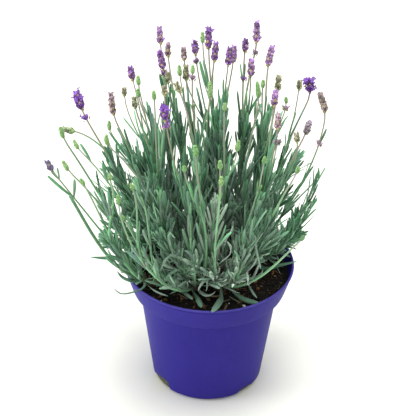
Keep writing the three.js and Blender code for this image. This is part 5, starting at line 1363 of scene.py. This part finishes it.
# ---- materials ----
class Nodes:
    """Short helpers round a material's node tree."""

    def __init__(self, name):
        self.mat = bpy.data.materials.new(name)
        self.mat.use_nodes = True
        self.t = self.mat.node_tree
        self.t.nodes.clear()
        self.out = self.t.nodes.new("ShaderNodeOutputMaterial")
        self.bsdf = self.t.nodes.new("ShaderNodeBsdfPrincipled")
        self.t.links.new(self.bsdf.outputs[0], self.out.inputs["Surface"])

    def new(self, kind, **sets):
        n = self.t.nodes.new(kind)
        for k, v in sets.items():
            setattr(n, k, v)
        return n

    def link(self, a, b):
        self.t.links.new(a, b)

    def attribute(self, name):
        return self.new("ShaderNodeAttribute", attribute_name=name, attribute_type="GEOMETRY")

    def noise(self, vector, scale, detail=4.0, rough=0.55, distortion=0.0):
        n = self.new("ShaderNodeTexNoise")
        n.inputs["Scale"].default_value = scale
        n.inputs["Detail"].default_value = detail
        n.inputs["Roughness"].default_value = rough
        n.inputs["Distortion"].default_value = distortion
        self.link(vector, n.inputs["Vector"])
        return n.outputs["Fac"]

    def stretch(self, vector, scale):
        n = self.new("ShaderNodeMapping")
        n.inputs["Scale"].default_value = scale
        self.link(vector, n.inputs["Vector"])
        return n.outputs["Vector"]

    def range(self, value, a, b, c, d):
        n = self.new("ShaderNodeMapRange")
        for k, x in zip(("From Min", "From Max", "To Min", "To Max"), (a, b, c, d)):
            n.inputs[k].default_value = x
        self.link(value, n.inputs["Value"])
        return n.outputs["Result"]

    def scale_colour(self, colour, factor):
        n = self.new("ShaderNodeVectorMath", operation="SCALE")
        self.link(colour, n.inputs[0])
        self.link(factor, n.inputs["Scale"])
        return n.outputs["Vector"]

    def blend(self, fac, a, b, mode="MIX"):
        n = self.new("ShaderNodeMix", data_type="RGBA", blend_type=mode)
        if isinstance(fac, float):
            n.inputs[0].default_value = fac
        else:
            self.link(fac, n.inputs[0])
        for s, x in ((n.inputs[6], a), (n.inputs[7], b)):
            if isinstance(x, (tuple, list, np.ndarray)):
                s.default_value = (*[float(c) for c in x][:3], 1.0)
            else:
                self.link(x, s)
        return n.outputs[2]

    def ramp(self, fac, stops):
        n = self.new("ShaderNodeValToRGB")
        e = n.color_ramp.elements
        while len(e) < len(stops):
            e.new(0.5)
        for x, (pos, col) in zip(e, stops):
            x.position = pos
            x.color = (*[float(c) for c in col], 1.0)
        self.link(fac, n.inputs["Fac"])
        return n.outputs["Color"]

    def bump(self, height, strength, distance, below=None):
        n = self.new("ShaderNodeBump")
        n.inputs["Strength"].default_value = strength
        n.inputs["Distance"].default_value = distance
        self.link(height, n.inputs["Height"])
        if below is not None:
            self.link(below, n.inputs["Normal"])
        return n.outputs["Normal"]

    def finish(self, colour, roughness, normal, **constants):
        self.link(colour, self.bsdf.inputs["Base Color"])
        self.link(roughness, self.bsdf.inputs["Roughness"])
        if normal is not None:
            self.link(normal, self.bsdf.inputs["Normal"])
        for k, v in constants.items():
            self.bsdf.inputs[k.replace("_", " ")].default_value = v
        return self.mat


def leaf_material():
    m = Nodes("lavender_leaf")
    tint, grain = m.attribute("tint").outputs["Color"], m.attribute("grain").outputs["Vector"]
    streak = m.noise(m.stretch(grain, (0.16, 2.2, 1.0)), 900, 3, 0.6)
    patch = m.noise(grain, 160, 3, 0.5)
    felt = m.noise(grain, 2600, 3, 0.65)
    c = m.scale_colour(tint, m.range(streak, 0.25, 0.75, 0.84, 1.16))
    c = m.scale_colour(c, m.range(patch, 0.3, 0.7, 0.88, 1.12))
    c = m.blend(m.range(felt, 0.5, 0.8, 0.0, 0.28), c, lin("b9cbbd"))
    # a few yellowing spots
    c = m.blend(m.range(m.noise(grain, 330, 2, 0.5), 0.68, 0.78, 0.0, 0.35), c, lin("8f9a58"))
    n = m.bump(streak, 0.35, 0.0005)
    n = m.bump(felt, 0.3, 0.00025, n)
    return m.finish(c, m.range(felt, 0.2, 0.8, 0.5, 0.74), n, Sheen_Weight=0.18, Sheen_Roughness=0.5, Specular_IOR_Level=0.35)


def stalk_material():
    m = Nodes("lavender_stalk")
    tint, grain = m.attribute("tint").outputs["Color"], m.attribute("grain").outputs["Vector"]
    streak = m.noise(m.stretch(grain, (0.08, 2.5, 2.5)), 900, 3, 0.6)
    patch = m.noise(m.stretch(grain, (1.0, 0.4, 0.4)), 130, 3, 0.5)
    c = m.scale_colour(tint, m.range(streak, 0.25, 0.75, 0.82, 1.18))
    c = m.blend(m.range(patch, 0.45, 0.75, 0.0, 0.3), c, lin("9a8f76"))
    n = m.bump(streak, 0.4, 0.0004)
    return m.finish(c, m.range(patch, 0.2, 0.8, 0.45, 0.68), n, Sheen_Weight=0.1, Specular_IOR_Level=0.4)


def calyx_material():
    m = Nodes("lavender_calyx")
    tint, grain = m.attribute("tint").outputs["Color"], m.attribute("grain").outputs["Vector"]
    rib = m.noise(m.stretch(grain, (0.12, 2.0, 2.0)), 1500, 3, 0.6)
    felt = m.noise(grain, 3200, 3, 0.7)
    c = m.scale_colour(tint, m.range(rib, 0.25, 0.75, 0.74, 1.26))
    c = m.blend(m.range(felt, 0.52, 0.8, 0.0, 0.3), c, lin("cfc4d6"))
    n = m.bump(rib, 0.5, 0.0004)
    n = m.bump(felt, 0.35, 0.0002, n)
    return m.finish(c, m.range(felt, 0.2, 0.8, 0.6, 0.85), n, Sheen_Weight=0.3, Sheen_Roughness=0.45, Specular_IOR_Level=0.3)


def corolla_material():
    m = Nodes("lavender_corolla")
    tint, grain = m.attribute("tint").outputs["Color"], m.attribute("grain").outputs["Vector"]
    vein = m.noise(m.stretch(grain, (0.25, 2.4, 1.0)), 1300, 3, 0.6)
    patch = m.noise(grain, 500, 2, 0.5)
    c = m.scale_colour(tint, m.range(vein, 0.25, 0.75, 0.82, 1.2))
    c = m.blend(m.range(patch, 0.45, 0.75, 0.0, 0.25), c, lin("5b2f9e"))
    n = m.bump(vein, 0.35, 0.0003)
    return m.finish(c, m.range(patch, 0.2, 0.8, 0.45, 0.65), n, Sheen_Weight=0.2, Specular_IOR_Level=0.35)


def place_vector(m):
    n = m.new("ShaderNodeTexCoord")
    return n.outputs["Object"]


def pot_material():
    m = Nodes("moulded_plastic")
    at = place_vector(m)
    cloud = m.noise(at, 14, 3, 0.5)
    mottle = m.noise(at, 220, 4, 0.6)
    grain = m.noise(at, 2400, 3, 0.6)
    # faint upright drag marks left by the mould
    drag = m.noise(m.stretch(at, (1.0, 1.0, 0.05)), 300, 3, 0.5)
    c = m.ramp(cloud, [(0.3, lin("2c247c")), (0.7, lin("322a85"))])
    c = m.scale_colour(c, m.range(mottle, 0.3, 0.7, 0.955, 1.045))
    c = m.scale_colour(c, m.range(drag, 0.3, 0.7, 0.97, 1.03))
    # dust of peat and lime low on the wall
    z = m.new("ShaderNodeSeparateXYZ")
    m.link(at, z.inputs[0])
    low = m.range(z.outputs["Z"], 0.0, 0.02, 0.35, 0.0)
    dust = m.new("ShaderNodeMath", operation="MULTIPLY")
    m.link(low, dust.inputs[0])
    m.link(m.range(m.noise(at, 90, 4, 0.6), 0.45, 0.8, 0.0, 0.55), dust.inputs[1])
    c = m.blend(dust.outputs[0], c, lin("4a4478"))
    # painted highlight: the lip is painted a little lighter where its rolled edge catches the light
    lip = m.new("ShaderNodeMath", operation="MULTIPLY")
    m.link(m.range(z.outputs["Z"], 0.1328, 0.1341, 0.0, 1.0), lip.inputs[0])
    m.link(m.range(m.noise(at, 60, 3, 0.6), 0.3, 0.7, 0.3, 0.8), lip.inputs[1])
    c = m.blend(lip.outputs[0], c, lin("5a53a6"))
    # painted shade: a darker band runs round the wall just under the lip, where a crease would be shaded
    groove_shade = m.new("ShaderNodeMath", operation="MULTIPLY")
    m.link(m.range(z.outputs["Z"], 0.1302, 0.1312, 0.0, 1.0), groove_shade.inputs[0])
    m.link(m.range(z.outputs["Z"], 0.1320, 0.1328, 1.0, 0.0), groove_shade.inputs[1])
    c = m.blend(groove_shade.outputs[0], c, lin("231c74"))
    n = m.bump(grain, 0.12, 0.00012)
    n = m.bump(mottle, 0.10, 0.0004, n)
    n = m.bump(m.noise(at, 34, 2, 0.5), 0.12, 0.0012, n)
    r = m.range(mottle, 0.25, 0.75, 0.43, 0.53)
    return m.finish(c, r, n, Specular_IOR_Level=0.06, Coat_Weight=0.0)


def peat_material(name, rough=0.93, sparkle=0.25):
    m = Nodes(name)
    tint, at = m.attribute("tint").outputs["Color"], place_vector(m)
    coarse = m.noise(at, 260, 5, 0.65)
    fine = m.noise(at, 1500, 4, 0.7)
    c = m.scale_colour(tint, m.range(coarse, 0.25, 0.75, 0.5, 1.5))
    c = m.blend(m.range(fine, 0.6, 0.8, 0.0, sparkle), c, lin("6a5236"))
    c = m.scale_colour(c, m.range(fine, 0.25, 0.75, 0.65, 1.3))
    n = m.bump(coarse, 0.9, 0.0016)
    n = m.bump(fine, 0.7, 0.0006, n)
    return m.finish(c, m.range(fine, 0.2, 0.8, rough - 0.12, min(1.0, rough + 0.05)), n, Specular_IOR_Level=0.25)


def fibre_material(name="peat_fibre"):
    m = Nodes(name)
    tint, grain = m.attribute("tint").outputs["Color"], m.attribute("grain").outputs["Vector"]
    streak = m.noise(m.stretch(grain, (0.15, 2, 2)), 1600, 3, 0.6)
    c = m.scale_colour(tint, m.range(streak, 0.25, 0.75, 0.6, 1.35))
    return m.finish(c, m.range(streak, 0.2, 0.8, 0.7, 0.9), m.bump(streak, 0.6, 0.0003), Specular_IOR_Level=0.25)


def perlite_material():
    m = Nodes("perlite")
    tint, at = m.attribute("tint").outputs["Color"], place_vector(m)
    pits = m.noise(at, 2200, 4, 0.7)
    c = m.scale_colour(tint, m.range(pits, 0.25, 0.6, 0.72, 1.0))
    return m.finish(c, m.range(pits, 0.2, 0.8, 0.75, 0.92), m.bump(pits, 0.8, 0.0005), Specular_IOR_Level=0.3)


def bark_material():
    m = Nodes("lavender_bark")
    tint, grain = m.attribute("tint").outputs["Color"], m.attribute("grain").outputs["Vector"]
    strip = m.noise(m.stretch(grain, (0.25, 1.6, 1.6)), 420, 5, 0.65, 0.4)
    fine = m.noise(grain, 1800, 4, 0.7)
    c = m.scale_colour(tint, m.range(strip, 0.25, 0.75, 0.5, 1.4))
    c = m.blend(m.range(fine, 0.55, 0.8, 0.0, 0.4), c, lin("a99c86"))
    n = m.bump(strip, 0.9, 0.001)
    n = m.bump(fine, 0.5, 0.0004, n)
    return m.finish(c, m.range(fine, 0.2, 0.8, 0.78, 0.95), n, Specular_IOR_Level=0.25)


def floor_material():
    m = Nodes("studio_floor")
    at = place_vector(m)
    cloud = m.noise(at, 2.2, 3, 0.5)
    speck = m.noise(at, 700, 2, 0.5)
    c = m.ramp(cloud, [(0.3, (0.925, 0.934, 0.846)), (0.7, (0.94, 0.948, 0.862))])
    c = m.scale_colour(c, m.range(speck, 0.2, 0.8, 0.99, 1.01))
    return m.finish(c, m.range(speck, 0.2, 0.8, 0.8, 0.9), m.bump(speck, 0.02, 0.0001), Specular_IOR_Level=0.2)


# ---- the object ----
for name, *stems in BRANCHES:
    for which, s0, s1, reach in (("flower_branch_36", 0.06, 0.9, 2.6), ("flower_branch_35", 0.06, 0.7, 2.4), ("leafy_shoot_silver_front", 0.3, 0.95, 8.0)):
        if name == which:
            a = Axis(bezier(stems[0][:12]))
            CLEAR_VIEW.append((name, open_line(a.cut(a.length * s0, a.length * s1, 40), reach)))
for owner, pts in FRONT_STEMS:
    CLEAR_VIEW.append((owner, open_line(catmull(np.array(pts, float)[2:], 12), 2.2)))
LEAF, STALK, CALYX_M, COROLLA = leaf_material(), stalk_material(), calyx_material(), corolla_material()
plant = [LEAF, STALK, CALYX_M, COROLLA]
count = 0
for i, (name, *stems) in enumerate(BRANCHES):
    made, faces = make_branch(name, stems, i, plant)
    count += faces
print("plant faces", count)
make_pot(pot_material())
make_soil([peat_material("potting_peat"), peat_material("peat_crumb", 0.95, 0.4), fibre_material(), perlite_material()])
make_wood([bark_material(), fibre_material("dry_leaf")])

# ---- stage, light and camera ----
me = bpy.data.meshes.new("studio_floor")
me.from_pydata([(-4, -4, 0), (4, -4, 0), (4, 6, 0), (-4, 6, 0)], [], [(0, 1, 2, 3)])
me.materials.append(floor_material())
floor = bpy.data.objects.new("studio_floor", me)
bpy.context.scene.collection.objects.link(floor)
floor.location.z = -0.0003

scene = bpy.context.scene
scene.view_settings.view_transform = "Standard"
world = bpy.data.worlds.new("studio")
scene.world = world
world.use_nodes = True
world.node_tree.nodes["Background"].inputs[0].default_value = (1.0, 1.0, 1.0, 1.0)
world.node_tree.nodes["Background"].inputs[1].default_value = WORLD


def area(name, location, target, size, power):
    l = bpy.data.lights.new(name, "AREA")
    l.shape = "DISK"
    l.size = size
    l.energy = power
    o = bpy.data.objects.new(name, l)
    scene.collection.objects.link(o)
    o.location = location
    o.rotation_mode = "QUATERNION"
    o.rotation_quaternion = (Vector(target) - Vector(location)).to_track_quat("-Z", "Y")


area("key", (0.0, 0.18, 2.4), (0, 0, 0.16), 1.7, KEY)
area("fill", (-2.2, -0.5, 0.75), (0, 0, 0.12), 1.3, FILL)

E_ANG, DIST, ROLL = math.radians(32.49), 1.4, math.radians(1.28)
right = Vector((1, 0, 0))
up = Vector((0, math.sin(E_ANG), math.cos(E_ANG)))
back = Vector((0, -math.cos(E_ANG), math.sin(E_ANG)))
c_, s_ = math.cos(ROLL), math.sin(ROLL)
x_axis, y_axis = right * c_ + up * s_, up * c_ - right * s_
cam = bpy.data.objects.new("camera", bpy.data.cameras.new("camera"))
scene.collection.objects.link(cam)
cam.data.sensor_width = 36.0
cam.data.lens = 123.9
cam.matrix_world = Matrix((
    (x_axis.x, y_axis.x, back.x, -0.0025 + back.x * DIST),
    (x_axis.y, y_axis.y, back.y, back.y * DIST),
    (x_axis.z, y_axis.z, back.z, 0.1976 + back.z * DIST),
    (0, 0, 0, 1)))
scene.camera = cam
